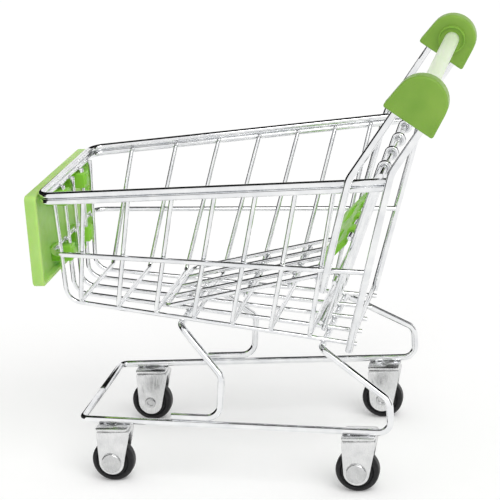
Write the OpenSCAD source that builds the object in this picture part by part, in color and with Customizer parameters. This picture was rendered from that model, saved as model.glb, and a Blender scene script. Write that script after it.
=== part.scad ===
/* [Basket] */
// Length of the rim, from the nose to the rear posts
rim_l = 136; // [110:1:170]
// Width of the rim at the nose, between wire centres
rim_front_w = 74; // [60:1:90]
// Width of the rim at the rear, between wire centres
rim_rear_w = 106; // [88:1:128]
// Width of the floor at the nose, at the rim's layer of wires
floor_front_w = 52; // [44:1:60]
// Height of the lower rim wire at the nose
rim_front_z = 116; // [104:1:130]
// Height of the lower rim wire at the rear posts
rim_rear_z = 124.2; // [114:0.1:134]
// Height of the floor wires at the nose
floor_front_z = 72.9; // [66:0.1:78]
// Height of the floor wires at the rear edge
floor_rear_z = 58.2; // [54:0.1:62]
// Setback of the floor's rear edge from the rim's rear end
floor_rear_setback = 20; // [14:1:26]
// Height of the belt wire at the nose
belt_front_z = 93.7; // [90:0.1:100]
// Height of the belt wire at the rear posts
belt_rear_z = 89.2; // [84:0.1:96]

/* [Wires] */
// Diameter of the chassis wires and the posts
frame_d = 2.8; // [2.3:0.1:3.4]
// Diameter of each rim wire
rim_d = 2.5; // [2:0.1:3]
// Diameter of the belt wire
belt_d = 2; // [1.6:0.1:2.4]
// Diameter of the mesh, gate and seat wires
mesh_d = 1.8; // [1.4:0.1:2.2]
// Diameter of the gate's hinge rod
rod_d = 2; // [1.6:0.1:2.6]
// Number of wires that go down one side, under the floor and up the other
side_wires = 7; // [5:1:8]
// Distance between neighbouring side wires at the floor
side_pitch = 15.2; // [12:0.1:18]
// Distance from the nose to the first side wire, at the floor
side_first = 8.8; // [7:0.1:11]
// Distance from the nose to the first side wire, at the rim
side_top_first = 17.4; // [14:0.1:20]
// Distance between the first two side wires at the rim
side_top_pitch = 18.4; // [15:0.1:19]
// How much each next distance at the rim is shorter
side_top_shrink = 0.8; // [0:0.1:1]
// Number of wires along the floor
floor_wires = 5; // [3:1:7]
// Distance between the nose wires at the rim
nose_pitch = 13; // [9:0.5:15]

/* [Chassis] */
// Height of the rails above the tops of the wheels
rail_over_wheels = 8; // [7:0.1:12]
// Distance from the rim's nose back to the front cross of the rails
rail_front_inset = 6.5; // [4:0.5:12]
// Length of the rails
rail_l = 124.5; // [110:0.5:140]
// Width between the rails at the front
rail_front_w = 61; // [52:1:70]
// Width between the rails at the rear
rail_rear_w = 82; // [70:1:92]
// Height of the rear uprights' upper bend
upright_z = 38; // [35:0.5:42]
// Distance from the rails' rear end forward to the rear saddle under the floor
rear_saddle_inset = 26.5; // [22:0.5:32]
// Distance from the rails' front cross back to the front support's upright
support_inset = 59; // [52:0.5:66]
// Height of the front support's upper bend
support_z = 45; // [40:0.5:50]
// Distance from that bend forward to the front saddle under the floor
support_reach = 17; // [12:0.5:22]

/* [Casters] */
// Diameter of the wheels
wheel_d = 17; // [14:0.5:20.5]
// Width of the wheels
wheel_w = 6.2; // [5:0.1:7]
// Diameter of the wheel axles
axle_d = 2.4; // [2:0.1:3]
// Diameter of the swivel pins
pivot_d = 2.6; // [2.2:0.1:3.4]
// Thickness of the fork's sheet metal
fork_t = 0.9; // [0.7:0.05:1.2]
// Width of the fork at its crown
fork_crown_w = 13.6; // [12:0.1:15]
// Distance of the wheel axle from the swivel axis
trail = 1.5; // [0:0.1:3]
// Distance from the rails' front cross back to the front swivel axes
caster_front_inset = 13.5; // [12:0.5:18]
// Distance between the front and rear swivel axes
caster_base = 98.5; // [84:0.5:106]
// Inset of the rear swivel axes from the rails
caster_rear_inset = 2.4; // [0:0.1:3]

/* [Handle] */
// Distance of the handle's axis behind the rim's rear end
handle_back = 13.8; // [8:0.1:20]
// Height of the handle's axis above the rim's rear end
handle_up = 32.5; // [26:0.5:40]
// Rake of the posts inside the handle brackets, from level
handle_rake = 54; // [46:1:60]
// Distance between the front and rear post of one side in the bracket
post_gap = 11; // [9:0.5:12]
// Diameter of the handle tube
tube_d = 6; // [5:0.1:7]
// Wall of the handle tube
tube_wall = 1; // [0.6:0.1:1.4]
// Thickness of the handle brackets
bracket_t = 7; // [6.4:0.1:9]
// Radius of the handle brackets' round top
bracket_r = 9.5; // [8.5:0.1:11]

/* [Gate and seat] */
// Lean of the gate at rest, from plumb
gate_lean = 21.5; // [18:0.5:26]
// Half width of the gate at its hooks
gate_top_w = 42; // [34:1:45]
// Half width of the gate at its foot
gate_foot_w = 27; // [20:1:29]
// Number of gate bars
gate_bars_n = 5; // [3:1:7]
// Distance from the hinge rod down the gate to the seat's hinge wire
seat_drop = 52; // [46:1:56]
// Distance from the hinge rod down the gate to the flap's hinge wire
flap_drop = 32; // [26:1:36]
// Length of the wire seat frame
seat_l = 69; // [56:1:74]
// Half width of the wire seat frame
seat_w = 24; // [18:1:26]
// Width of the seat flap
flap_w = 70; // [50:1:72]
// Reach of the seat flap from its hinge
flap_l = 16.5; // [12:0.5:18]
// Thickness of the seat flap
flap_t = 2; // [1.4:0.1:2.6]
// Slope of the seat flap at rest, below level
flap_slope = 43; // [36:1:50]

/* [Nose plaque] */
// Width of the nose plaque
plaque_w = 75; // [60:1:76]
// Height of the nose plaque
plaque_h = 36.4; // [30:0.1:40]
// Depth of the nose plaque
plaque_t = 4.6; // [3.6:0.1:6]
// Wall of the nose plaque
plaque_wall = 1.5; // [1:0.1:2]
// Size of each clip's square head
clip_w = 6; // [5:0.1:7]

/* [Fits] */
// Gap between welded or seated pieces
seat_gap = 0.03; // [0.02:0.01:0.05]
// Radial clearance of the pins and hooks that turn
run_gap = 0.08; // [0.05:0.01:0.1]
// Gap beside a turning wheel or between swivel faces
side_gap = 0.4; // [0.2:0.05:0.5]

/* [Hidden] */
CORNERS = ["fl", "fr", "rl", "rr"];
$fn = 32;

chrome = [0.80, 0.81, 0.83];
steel = [0.66, 0.67, 0.69];
green = [0.52, 0.78, 0.22];
pale_green = [0.80, 0.94, 0.68];
black = [0.12, 0.12, 0.13];

// A bend is this much fatter than its wire and laps over each straight, so that they join
bend_swell = 0.03;
bend_lap = 2;
straight_lap = 0.05;
// A straight is turned on its axis, which keeps its seam off the bend's seam
seam_turn = 17;

// Places along the length; the whole model is centred on its overall length
nose_depth = plaque_t + seat_gap + rim_d / 2;
rim_front_x = nose_depth - (nose_depth + rim_l + handle_back + bracket_r) / 2;
rim_rear_x = rim_front_x + rim_l;
mesh_front_x = rim_front_x + (rim_d + mesh_d) / 2 + seat_gap;
floor_rear_x = rim_rear_x - floor_rear_setback;
rail_front_x = rim_front_x + rail_front_inset;
rail_rear_x = rail_front_x + rail_l;
rail_z = wheel_d + rail_over_wheels;

// The side walls are planes: they widen to the rear and splay upwards
splay = (rim_front_w - floor_front_w) / 2 / (rim_front_z - floor_front_z);
taper = ((rim_rear_w - rim_front_w) / 2 - splay * (rim_rear_z - rim_front_z)) / rim_l;
tilt = norm([1, splay, taper]);
function side_y(x, z) = rim_front_w / 2 + taper * (x - rim_front_x) + splay * (z - rim_front_z);

// Layers of wires on a side wall, as offsets from the rim's layer
mesh_in = -((rim_d + mesh_d) / 2 + seat_gap) * tilt;
belt_in = mesh_in + ((mesh_d + belt_d) / 2 + seat_gap) * tilt;
post_out = ((rim_d + frame_d) / 2 + seat_gap) * tilt;

function mix(a, b, t) = a + (b - a) * t;
function rim_z(x) = mix(rim_front_z, rim_rear_z, (x - rim_front_x) / rim_l);
function floor_z(x) = mix(floor_front_z, floor_rear_z, (x - mesh_front_x) / (floor_rear_x - mesh_front_x));
floor_tilt = norm([1, (floor_front_z - floor_rear_z) / (floor_rear_x - mesh_front_x)]);
under_mesh = (mesh_d + seat_gap) * floor_tilt;
under_saddle = under_mesh + ((mesh_d + frame_d) / 2 + seat_gap) * floor_tilt;

rim_stack = rim_d + seat_gap;
rim_corner_r = 6;
mesh_bend_r = 3;
nose_bend_r = 6;
floor_edge_inset = 3.4;

// Shapes that are joined overlap by a lap, and cuts run past a face by this much
lap = 0.1;
past = 1;

// Wires
function unit(v) = v / norm(v);
function turn_at(p, i) = acos(unit(p[i] - p[i - 1]) * unit(p[i + 1] - p[i]));
function radius_at(r, i) = is_list(r) ? r[i - 1] : r;
function trim_at(p, i, r) = radius_at(r, i) * tan(turn_at(p, i) / 2);
function mirror_y(v) = [v.x, -v.y, v.z];

module straight(a, b, d) {
    v = b - a;
    translate(a) rotate([0, acos(v.z / norm(v)), atan2(v.y, v.x)]) rotate([0, 0, seam_turn])
        cylinder(h = norm(v), d = d);
}

module bend(before, at, after, r, d) {
    u = unit(at - before);
    v = unit(after - at);
    turn = acos(u * v);
    m = unit(v - (u * v) * u);
    c = at - u * r * tan(turn / 2) + m * r;
    w = cross(-m, u);
    multmatrix([[-m.x, u.x, w.x, c.x], [-m.y, u.y, w.y, c.y], [-m.z, u.z, w.z, c.z], [0, 0, 0, 1]])
        rotate([0, 0, -bend_lap])
            rotate_extrude(angle = turn + 2 * bend_lap) translate([r, 0]) circle(d = d + bend_swell);
}

// A wire through the points p, with a bend of radius r at each inner point
module wire(p, d, r = 3) {
    last = len(p) - 1;
    for (i = [0 : last - 1]) {
        u = unit(p[i + 1] - p[i]);
        a = i == 0 ? p[0] : p[i] + u * (trim_at(p, i, r) - straight_lap);
        b = i == last - 1 ? p[last] : p[i + 1] - u * (trim_at(p, i + 1, r) - straight_lap);
        straight(a, b, d);
    }
    if (last > 1) for (i = [1 : last - 1]) bend(p[i - 1], p[i], p[i + 1], radius_at(r, i), d);
}

// A wire that runs down the left side, across, and up the right side
module mirrored_wire(p, d, r) {
    n = len(p);
    back = [for (i = [n - 1 : -1 : 0]) mirror_y(p[i])];
    wire(concat(p, back), d, is_list(r) ? concat(r, [for (i = [len(r) - 1 : -1 : 0]) r[i]]) : r);
}

// Chassis
// The loop's two ends meet at the middle of the nose, this far on each side of it
rail_cut = 0.02;
nose_corner_r = 3;
rail_bend_r = 5;
saddle_bend_r = 4;
function rail_y(x) = mix(rail_front_w, rail_rear_w, (x - rail_front_x) / rail_l) / 2;
rear_saddle_x = rail_rear_x - rear_saddle_inset;
rear_saddle_z = floor_z(rear_saddle_x) - under_saddle;
saddle_inset = 0.5;
saddle_y = side_y(rear_saddle_x, rear_saddle_z) - saddle_inset;

module chassis_loop() {
    color(chrome) wire([
        [rail_front_x, rail_cut, rail_z],
        [rail_front_x, rail_front_w / 2, rail_z],
        [rail_rear_x, rail_rear_w / 2, rail_z],
        [rail_rear_x, rail_rear_w / 2, upright_z],
        [rear_saddle_x, saddle_y, rear_saddle_z],
        [rear_saddle_x, -saddle_y, rear_saddle_z],
        [rail_rear_x, -rail_rear_w / 2, upright_z],
        [rail_rear_x, -rail_rear_w / 2, rail_z],
        [rail_front_x, -rail_front_w / 2, rail_z],
        [rail_front_x, -rail_cut, rail_z]], frame_d,
        [nose_corner_r, rail_bend_r, rail_bend_r, saddle_bend_r,
        saddle_bend_r, rail_bend_r, rail_bend_r, nose_corner_r]);
}

support_x = rail_front_x + support_inset;
support_foot = 19.5;
support_foot_r = 6;
support_lean = 2;
support_foot_x = support_x - support_lean;
front_saddle_x = support_x - support_reach;
front_saddle_z = floor_z(front_saddle_x) - under_saddle;
front_saddle_y = side_y(front_saddle_x, front_saddle_z) + mesh_in;

module front_support() {
    foot_z = rail_z + frame_d + seat_gap;
    color(chrome) mirrored_wire([
        [support_foot_x - support_foot, rail_y(support_foot_x - support_foot), foot_z],
        [support_foot_x, rail_y(support_foot_x), foot_z],
        [support_x, rail_y(support_x) - saddle_inset, support_z],
        [front_saddle_x, front_saddle_y, front_saddle_z]], frame_d,
        [support_foot_r, saddle_bend_r, saddle_bend_r]);
}

// Basket
module rim(z_up) {
    color(chrome) mirrored_wire([
        [rim_rear_x, side_y(rim_rear_x, rim_rear_z), rim_rear_z + z_up],
        [rim_front_x, side_y(rim_front_x, rim_front_z), rim_front_z + z_up]], rim_d, [rim_corner_r]);
}
module rim_lower() { rim(0); }
module rim_upper() { rim(rim_stack); }

belt_front_x = mesh_front_x - (mesh_d + belt_d) / 2 - seat_gap;

module belt_wire() {
    belt_rear_x = rear_post_x(belt_rear_z);
    color(chrome) mirrored_wire([
        [belt_rear_x, side_y(belt_rear_x, belt_rear_z) + belt_in, belt_rear_z],
        [belt_front_x, side_y(belt_front_x, belt_front_z) + belt_in, belt_front_z]],
        belt_d, [rim_corner_r]);
}

// Side wire k counts from 0 at the nose
function side_top_x(k) = rim_front_x + side_top_first + k * side_top_pitch
    - k * (k - 1) / 2 * side_top_shrink;
function side_foot_x(k) = rim_front_x + side_first + k * side_pitch;

module side_wire(k) {
    top_x = side_top_x(k);
    foot_x = side_foot_x(k);
    color(chrome) mirrored_wire([
        [top_x, side_y(top_x, rim_z(top_x)) + mesh_in, rim_z(top_x)],
        [foot_x, side_y(foot_x, floor_z(foot_x)) + mesh_in, floor_z(foot_x)]], mesh_d, [mesh_bend_r]);
}

// Floor wire j counts from -1 at the left edge to 1 at the right edge
function floor_y(x, j) = j * (side_y(x, floor_z(x)) + mesh_in - floor_edge_inset);
floor_end_x = floor_rear_x + mesh_d;

module floor_wire(i) {
    j = 2 * i / (floor_wires - 1) - 1;
    front_z = floor_z(mesh_front_x) - under_mesh;
    color(chrome) wire([
        [floor_end_x, floor_y(floor_end_x, j), floor_z(floor_end_x) - under_mesh],
        [mesh_front_x, floor_y(mesh_front_x, j), front_z],
        [mesh_front_x, nose_y(i), rim_front_z]], mesh_d, nose_bend_r);
}
function nose_y(i) = (i - (floor_wires - 1) / 2) * nose_pitch;

module floor_rear_wire() {
    post_y = side_y(floor_rear_x, floor_rear_z) + post_out;
    end_y = post_y - (frame_d / 2 + seat_gap) * tilt - splay * mesh_d / 2;
    color(chrome) straight([floor_rear_x, -end_y, floor_rear_z], [floor_rear_x, end_y, floor_rear_z], mesh_d);
}

// Posts and handle
handle_x = rim_rear_x + handle_back;
handle_z = rim_rear_z + handle_up;
rake_dir = [cos(handle_rake), 0, sin(handle_rake)];
rake_side = [-sin(handle_rake), 0, cos(handle_rake)];
rear_post_rise = 6.8;
front_post_rise = 3.8;
front_post_run = 14.2;
rear_post_ahead = 0.3;
rear_post_below_floor = 2.2;
front_post_below_belt = 7.4;
bracket_bend_drop = 9;
post_bend_r = 12;
rear_post_foot = [floor_rear_x - rear_post_ahead, 0, floor_rear_z - rear_post_below_floor];
rear_bend = leg_at(-1, rim_rear_z + rear_post_rise);
front_bend = leg_at(1, rim_rear_z + front_post_rise);
front_post_foot = [front_bend.x - front_post_run, 0, belt_rear_z - front_post_below_belt];
bracket_y = side_y(rear_bend.x, rear_bend.z) + post_out;

// Point of a post's raked leg at height z: side 1 is the front leg, -1 the rear one
function leg_at(side, z) = let (p = [handle_x, 0, handle_z] + side * post_gap / 2 * rake_side)
    p + rake_dir * (z - p.z) / rake_dir.z;
function rear_post_x(z) = mix(rear_post_foot.x, rear_bend.x,
    (z - rear_post_foot.z) / (rear_bend.z - rear_post_foot.z));
function on_wall(p) = [p.x, side_y(p.x, p.z) + post_out, p.z];
function at_bracket(p) = [p.x, bracket_y, p.z];

module post_wire(side) {
    hairpin = [handle_x, 0, handle_z] + rake_dir * post_gap / 2;
    path = [
        on_wall(front_post_foot),
        on_wall(front_bend),
        at_bracket(leg_at(1, handle_z - bracket_bend_drop)),
        at_bracket(hairpin + rake_side * post_gap / 2),
        at_bracket(hairpin - rake_side * post_gap / 2),
        at_bracket(rear_bend),
        on_wall(rear_post_foot)];
    color(chrome) scale([1, side, 1]) wire(path, frame_d,
        [post_bend_r, post_bend_r, post_gap / 2, post_gap / 2, post_bend_r]);
}
module post_wire_left() { mirror([0, 1, 0]) post_wire(1); }
module post_wire_right() { post_wire(1); }

// The bracket is a cap that slides down over the post wire's hairpin
boss_r = 5.4;
boss_h = 2.2;
bracket_drop = 8.6;
bracket_flare = 1;
pocket_t = frame_d + 2 * run_gap;
tube_end_gap = 0.4;
tube_end_y = bracket_y - pocket_t / 2 - tube_end_gap;

// A tangent edge ends this far inside its circle, so that the two shapes join
tangent_in = 0.02;

// Tangent point on the round top of the ray that starts at p; turn says which side
function tangent_at(p, r, turn) = let (l = norm(p), a = atan2(p.y, p.x) + turn * acos(r / l))
    [r * cos(a), r * sin(a)];

module bracket_outline(inset) {
    r = bracket_r - inset;
    foot = r + bracket_flare;
    left = [-foot, -bracket_drop + inset];
    right = [foot, -bracket_drop + inset];
    circle(r = r);
    polygon([left, right, tangent_at(right, r, 1), tangent_at(left, r, -1)]);
}

module bracket() {
    pocket_r = (post_gap + frame_d) / 2 + run_gap;
    translate([handle_x, 0, handle_z]) multmatrix([
        [-rake_side.x, rake_dir.x, 0, 0],
        [0, 0, -1, bracket_y],
        [-rake_side.z, rake_dir.z, 0, 0],
        [0, 0, 0, 1]])
    difference() {
        union() {
            translate([0, 0, -bracket_t / 2]) linear_extrude(bracket_t) bracket_outline(0);
            translate([0, 0, bracket_t / 2 - lap]) cylinder(h = boss_h + lap, r = boss_r);
        }
        translate([0, 0, -pocket_t / 2]) cylinder(h = pocket_t, r = pocket_r);
        translate([-pocket_r, -bracket_r * 2, -pocket_t / 2]) cube([2 * pocket_r, bracket_r * 2, pocket_t]);
        translate([0, 0, bracket_y - tube_end_y - seat_gap])
            cylinder(h = bracket_t, d = tube_d + 2 * seat_gap);
    }
}
module bracket_right() { color(green) bracket(); }
module bracket_left() { color(green) mirror([0, 1, 0]) bracket(); }

module handle_tube() {
    color(pale_green) translate([handle_x, tube_end_y, handle_z]) rotate([90, 0, 0]) difference() {
        cylinder(h = 2 * tube_end_y, d = tube_d);
        translate([0, 0, -past]) cylinder(h = 2 * (tube_end_y + past), d = tube_d - 2 * tube_wall);
    }
}

// Nose plaque: a tray that opens towards the basket, held by four clips
plaque_back_x = rim_front_x - rim_d / 2 - seat_gap;
plaque_front_x = plaque_back_x - plaque_t;
plaque_above_rim = 2.4;
plaque_top_z = rim_front_z + plaque_above_rim;
plaque_mid_z = plaque_top_z - plaque_h / 2;
plaque_corner_r = 3;
clip_z = 11.3;
clip_stud = 3;
clip_back_wall = 1.4;

module rounded(w, h, r) {
    square([w - 2 * r, h], center = true);
    square([w, h - 2 * r], center = true);
    for (x = [-1, 1], y = [-1, 1]) translate([x * (w / 2 - r), y * (h / 2 - r)]) circle(r = r);
}

module nose_plaque() {
    color(green) translate([plaque_front_x, 0, plaque_mid_z]) rotate([90, 0, 90]) difference() {
        linear_extrude(plaque_t) rounded(plaque_w, plaque_h, plaque_corner_r);
        translate([0, 0, plaque_wall]) linear_extrude(plaque_t)
            rounded(plaque_w - 2 * plaque_wall, plaque_h - 2 * plaque_wall, plaque_corner_r - plaque_wall);
        for (y = [-1, 1], z = [-1, 1]) translate([y * nose_pitch, z * clip_z, -past])
            cylinder(h = plaque_t, d = clip_stud + 2 * seat_gap);
    }
}

// Each clip grips a nose wire and pegs into the plaque
module plaque_clips() {
    clip_back_x = mesh_front_x + mesh_d / 2 + clip_back_wall;
    block_l = clip_back_x - plaque_front_x - plaque_wall - seat_gap;
    color(green) for (y = [-1, 1], z = [-1, 1]) difference() {
        union() {
            translate([clip_back_x - block_l / 2, y * nose_pitch, plaque_mid_z + z * clip_z])
                cube([block_l, clip_w, clip_w], center = true);
            translate([plaque_front_x, y * nose_pitch, plaque_mid_z + z * clip_z]) rotate([0, 90, 0])
                cylinder(h = plaque_wall + past, d = clip_stud);
        }
        i = (floor_wires - 1) / 2 + y;
        straight([mesh_front_x, floor_y(mesh_front_x, y / 2), floor_front_z - under_mesh],
            [mesh_front_x, nose_y(i), rim_front_z], mesh_d + 2 * seat_gap);
    }
}

// Casters
plate_t = 1;
plate_w = 13;
plate_corner_r = 1.5;
washer_d = 8;
washer_t = 0.8;
crown_gap = 0.1;
plate_top_z = rail_z - frame_d / 2 - seat_gap;
plate_z = plate_top_z - plate_t;
crown_z = plate_z - washer_t - 2 * crown_gap;
axle_z = wheel_d / 2;
fork_in_w = wheel_w + 2 * side_gap;
fork_out_w = fork_in_w + 2 * fork_t;
fork_foot_r = 5;
pivot_head_d = 5;
pivot_head_t = 0.8;
head_d = 8;
head_t = 1.3;
head_dome = 0.8;
head_shoulder = 1.2;
tail_d = 4.6;
tail_t = 0.7;
tail_chamfer = 0.4;
tread_round = 1.2;
hub_r = 3.6;
caster_front_x = rail_front_x + caster_front_inset;
caster_rear_x = caster_front_x + caster_base;
front_caster_y = rail_y(caster_front_x);
rear_caster_y = rail_y(caster_rear_x) - caster_rear_inset;

// A corner is [end, side]: end 0 is the front and 1 the rear, side -1 the left and 1 the right
module at_caster(corner) {
    translate([corner[0] == 0 ? caster_front_x : caster_rear_x,
        corner[1] * (corner[0] == 0 ? front_caster_y : rear_caster_y), 0]) children();
}

module caster_plate(corner) {
    color(steel) at_caster(corner) translate([0, 0, plate_z]) difference() {
        linear_extrude(plate_t) rounded(plate_w, plate_w, plate_corner_r);
        translate([0, 0, -past]) cylinder(h = plate_t + 2 * past, d = pivot_d + 2 * seat_gap);
    }
}

module swivel_pins() {
    pin_bottom = crown_z - fork_t - crown_gap - pivot_head_t;
    color(steel) for (end = [0, 1], side = [-1, 1]) at_caster([end, side]) {
        translate([0, 0, pin_bottom]) cylinder(h = plate_top_z - pin_bottom, d = pivot_d);
        translate([0, 0, pin_bottom]) cylinder(h = pivot_head_t, d = pivot_head_d);
    }
}

module swivel_washers() {
    color(steel) for (end = [0, 1], side = [-1, 1]) at_caster([end, side])
        translate([0, 0, crown_z + crown_gap]) difference() {
            cylinder(h = washer_t, d = washer_d);
            translate([0, 0, -past]) cylinder(h = washer_t + 2 * past, d = pivot_d + 2 * seat_gap);
        }
}

// A slab across the fork's whole width, from its outline seen along the axle
module fork_slab() {
    translate([0, fork_out_w / 2, 0]) rotate([90, 0, 0]) linear_extrude(fork_out_w) children();
}

module fork(corner) {
    foot = [-trail, axle_z];
    half = fork_crown_w / 2;
    corners = [[-half, crown_z], [half, crown_z]];
    tangents = [for (s = [0, 1])
        foot + tangent_at(corners[s] - foot, fork_foot_r - tangent_in, s == 0 ? 1 : -1)];
    color(steel) at_caster(corner) difference() {
        union() {
            fork_slab() translate(foot) circle(r = fork_foot_r);
            fork_slab() polygon([corners[0], corners[1], tangents[1], tangents[0]]);
        }
        translate([-wheel_d, -fork_in_w / 2, 0]) cube([2 * wheel_d, fork_in_w, crown_z - fork_t]);
        translate([-trail, fork_out_w, axle_z]) rotate([90, 0, 0])
            cylinder(h = 2 * fork_out_w, d = axle_d + 2 * seat_gap);
        translate([0, 0, crown_z - fork_t - past]) cylinder(h = fork_t + 2 * past, d = pivot_d + 2 * run_gap);
    }
}

// The rivet's domed head is on the outer side of the cart, and its small tail on the inner side
module axle(corner) {
    tail = -fork_out_w / 2 - seat_gap;
    head = fork_out_w / 2 + seat_gap;
    color(steel) at_caster(corner) translate([-trail, 0, axle_z]) rotate([corner[1] < 0 ? 90 : -90, 0, 0])
        rotate_extrude() polygon([
            [0, tail - tail_t],
            [tail_d / 2 - tail_chamfer, tail - tail_t],
            [tail_d / 2, tail - tail_t + tail_chamfer],
            [tail_d / 2, tail],
            [axle_d / 2, tail],
            [axle_d / 2, head],
            [head_d / 2, head],
            [head_d / 2, head + head_t - head_dome],
            [head_d / 2 - head_shoulder, head + head_t],
            [0, head + head_t]]);
}

// The hub stands proud of the wheel by half of the gap beside it
module wheel(corner) {
    bore_r = axle_d / 2 + run_gap;
    tread_r = wheel_d / 2 - tread_round;
    hub_w = wheel_w + side_gap;
    color(black) at_caster(corner) translate([-trail, 0, axle_z]) rotate([90, 0, 0])
        rotate_extrude($fn = 64) {
            translate([bore_r, -wheel_w / 2]) square([tread_r - bore_r, wheel_w]);
            translate([tread_r - lap, -wheel_w / 2 + tread_round])
                square([tread_round + lap, wheel_w - 2 * tread_round]);
            for (s = [-1, 1]) translate([tread_r, s * (wheel_w / 2 - tread_round)]) circle(r = tread_round);
            translate([bore_r, -hub_w / 2]) square([hub_r - bore_r, hub_w]);
        }
}

// Gate: bars hooked over the rod; they hang leaning forward, with their feet on the floor
rod_inset = 2.4;
rod_x = rim_rear_x - rod_inset;
rod_z = rim_z(rod_x) + rim_stack + (rim_d + rod_d) / 2 + seat_gap;
hook_r = rod_d / 2 + run_gap + mesh_d / 2;
gate_foot_z = floor_z(rear_saddle_x) + mesh_d / 2;
gate_l = (rod_z - gate_foot_z) / cos(gate_lean);
foot_wire_up = 3;
bar_plumb_l = 4;
bar_bend_r = 8;
hook_open = 110;
cross_over = 1;

module hinge_rod() {
    half = side_y(rod_x, rim_z(rod_x)) + rim_d / 2;
    color(chrome) straight([rod_x, -half, rod_z], [rod_x, half, rod_z], rod_d);
}

// In the gate's own frame z runs up the gate and x points out of the basket, from the rod
module at_gate() { translate([rod_x, 0, rod_z]) rotate([0, gate_lean, 0]) children(); }

// A hook of radius r about the Y axis, whose wire leaves downwards at x = -r
module hook(r) {
    rotate([-90, 0, 0]) rotate([0, 0, 180 - bend_lap]) rotate_extrude(angle = 360 - hook_open)
        translate([r, 0]) circle(d = mesh_d + bend_swell);
}

function gate_y(i, down) = mix(gate_top_w, gate_foot_w, down / gate_l) * (2 * i / (gate_bars_n - 1) - 1);

module gate_bars() {
    color(chrome) at_gate() for (i = [0 : gate_bars_n - 1]) {
        top = [-hook_r, gate_y(i, 0), straight_lap];
        foot = [-hook_r, gate_y(i, gate_l), -gate_l];
        translate([0, top.y, 0]) hook(hook_r);
        if (2 * i == gate_bars_n - 1) straight(top, foot, mesh_d);
        else wire([top, [-hook_r, top.y, -bar_plumb_l], foot], mesh_d, bar_bend_r);
    }
}

cross_x = -hook_r - mesh_d - seat_gap;
module gate_cross(down) {
    half = gate_y(gate_bars_n - 1, down) + cross_over;
    color(chrome) at_gate() straight([cross_x, -half, -down], [cross_x, half, -down], mesh_d);
}
module gate_foot_wire() { gate_cross(gate_l - foot_wire_up); }
module gate_seat_wire() { gate_cross(seat_drop); }
module gate_flap_wire() { gate_cross(flap_drop); }

// Place of a gate cross wire in the model
function gate_point(x, down) = [
    rod_x + x * cos(gate_lean) - down * sin(gate_lean), 0,
    rod_z - x * sin(gate_lean) - down * cos(gate_lean)];

// Wire seat: hooked on the gate, with its front end lying on the floor wires
seat_hinge = gate_point(cross_x, seat_drop);
seat_hook_r = mesh_d + run_gap;
seat_end_x = seat_hinge.x - seat_l;
seat_rest_gap = 0.35;
seat_end_z = floor_z(seat_end_x) + mesh_d + seat_rest_gap;
seat_slope = asin((seat_hinge.z + seat_hook_r - seat_end_z) / seat_l);
seat_wire_n = 3;
seat_cross_at = [8, 19, 37];
seat_corner_r = 3;

// In the seat's own frame -x runs along the seat from its hinge
module at_seat() { translate(seat_hinge) rotate([0, -seat_slope, 0]) children(); }

module seat_loop() {
    color(chrome) at_seat() {
        for (s = [-1, 1]) translate([0, s * seat_w, 0]) rotate([0, 90, 0]) hook(seat_hook_r);
        wire([
            [straight_lap, -seat_w, seat_hook_r],
            [-seat_l, -seat_w, seat_hook_r],
            [-seat_l, seat_w, seat_hook_r],
            [straight_lap, seat_w, seat_hook_r]], mesh_d, seat_corner_r);
    }
}

module seat_wires() {
    color(chrome) at_seat() for (i = [1 : seat_wire_n]) {
        y = seat_w * (2 * i / (seat_wire_n + 1) - 1);
        straight([-seat_cross_at[0] + cross_over, y, seat_hook_r],
            [-seat_l + mesh_d / 2 + seat_gap, y, seat_hook_r], mesh_d);
    }
}

module seat_cross_wires() {
    z = seat_hook_r - mesh_d - seat_gap;
    color(chrome) at_seat() for (x = seat_cross_at)
        straight([-x, -seat_w - cross_over, z], [-x, seat_w + cross_over, z], mesh_d);
}

// Seat flap: a plastic strip with four knuckles that turn on the gate's flap wire
flap_hinge = gate_point(cross_x, flap_drop);
knuckle_w = 5;
knuckle_wall = 1.1;
knuckle_r = mesh_d / 2 + run_gap + knuckle_wall;
flap_strip_gap = 0.6;
slot_w = 5;
slot_r = 2;
slot_ahead = 1.5;

module seat_flap() {
    strip_l = flap_l - knuckle_r - flap_strip_gap;
    color(green) translate(flap_hinge) rotate([0, -flap_slope, 0]) difference() {
        union() {
            translate([-flap_l, -flap_w / 2, -flap_t / 2]) cube([strip_l, flap_w, flap_t]);
            for (i = [0 : gate_bars_n - 2]) {
                y = (gate_y(i, flap_drop) + gate_y(i + 1, flap_drop)) / 2;
                translate([strip_l - flap_l - lap, y - knuckle_w / 2, -flap_t / 2])
                    cube([flap_l - strip_l + lap, knuckle_w, flap_t]);
                translate([0, y + knuckle_w / 2, 0]) rotate([90, 0, 0])
                    cylinder(h = knuckle_w, r = knuckle_r);
            }
        }
        translate([0, flap_w, 0]) rotate([90, 0, 0]) cylinder(h = 2 * flap_w, d = mesh_d + 2 * run_gap);
        for (s = [-1, 1]) translate([-flap_l / 2 - slot_ahead, s * flap_w / 4, -flap_t])
            linear_extrude(2 * flap_t) rounded(slot_w, flap_w / 4, slot_r);
    }
}

chassis_loop();
front_support();
rim_lower();
rim_upper();
belt_wire();
for (k = [0 : side_wires - 1]) side_wire(k);
for (i = [0 : floor_wires - 1]) floor_wire(i);
floor_rear_wire();
post_wire_left();
post_wire_right();
hinge_rod();
bracket_left();
bracket_right();
handle_tube();
nose_plaque();
plaque_clips();
swivel_pins();
swivel_washers();
for (end = [0, 1], side = [-1, 1]) {
    tag = CORNERS[2 * end + (side + 1) / 2];
    caster_plate([end, side]);
    fork([end, side]);
    axle([end, side]);
    wheel([end, side]);
}
gate_bars();
gate_foot_wire();
gate_seat_wire();
gate_flap_wire();
seat_loop();
seat_wires();
seat_cross_wires();
seat_flap();
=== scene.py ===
import math

import bpy
from mathutils import Matrix, Vector
from mathutils.geometry import intersect_line_line


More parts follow.
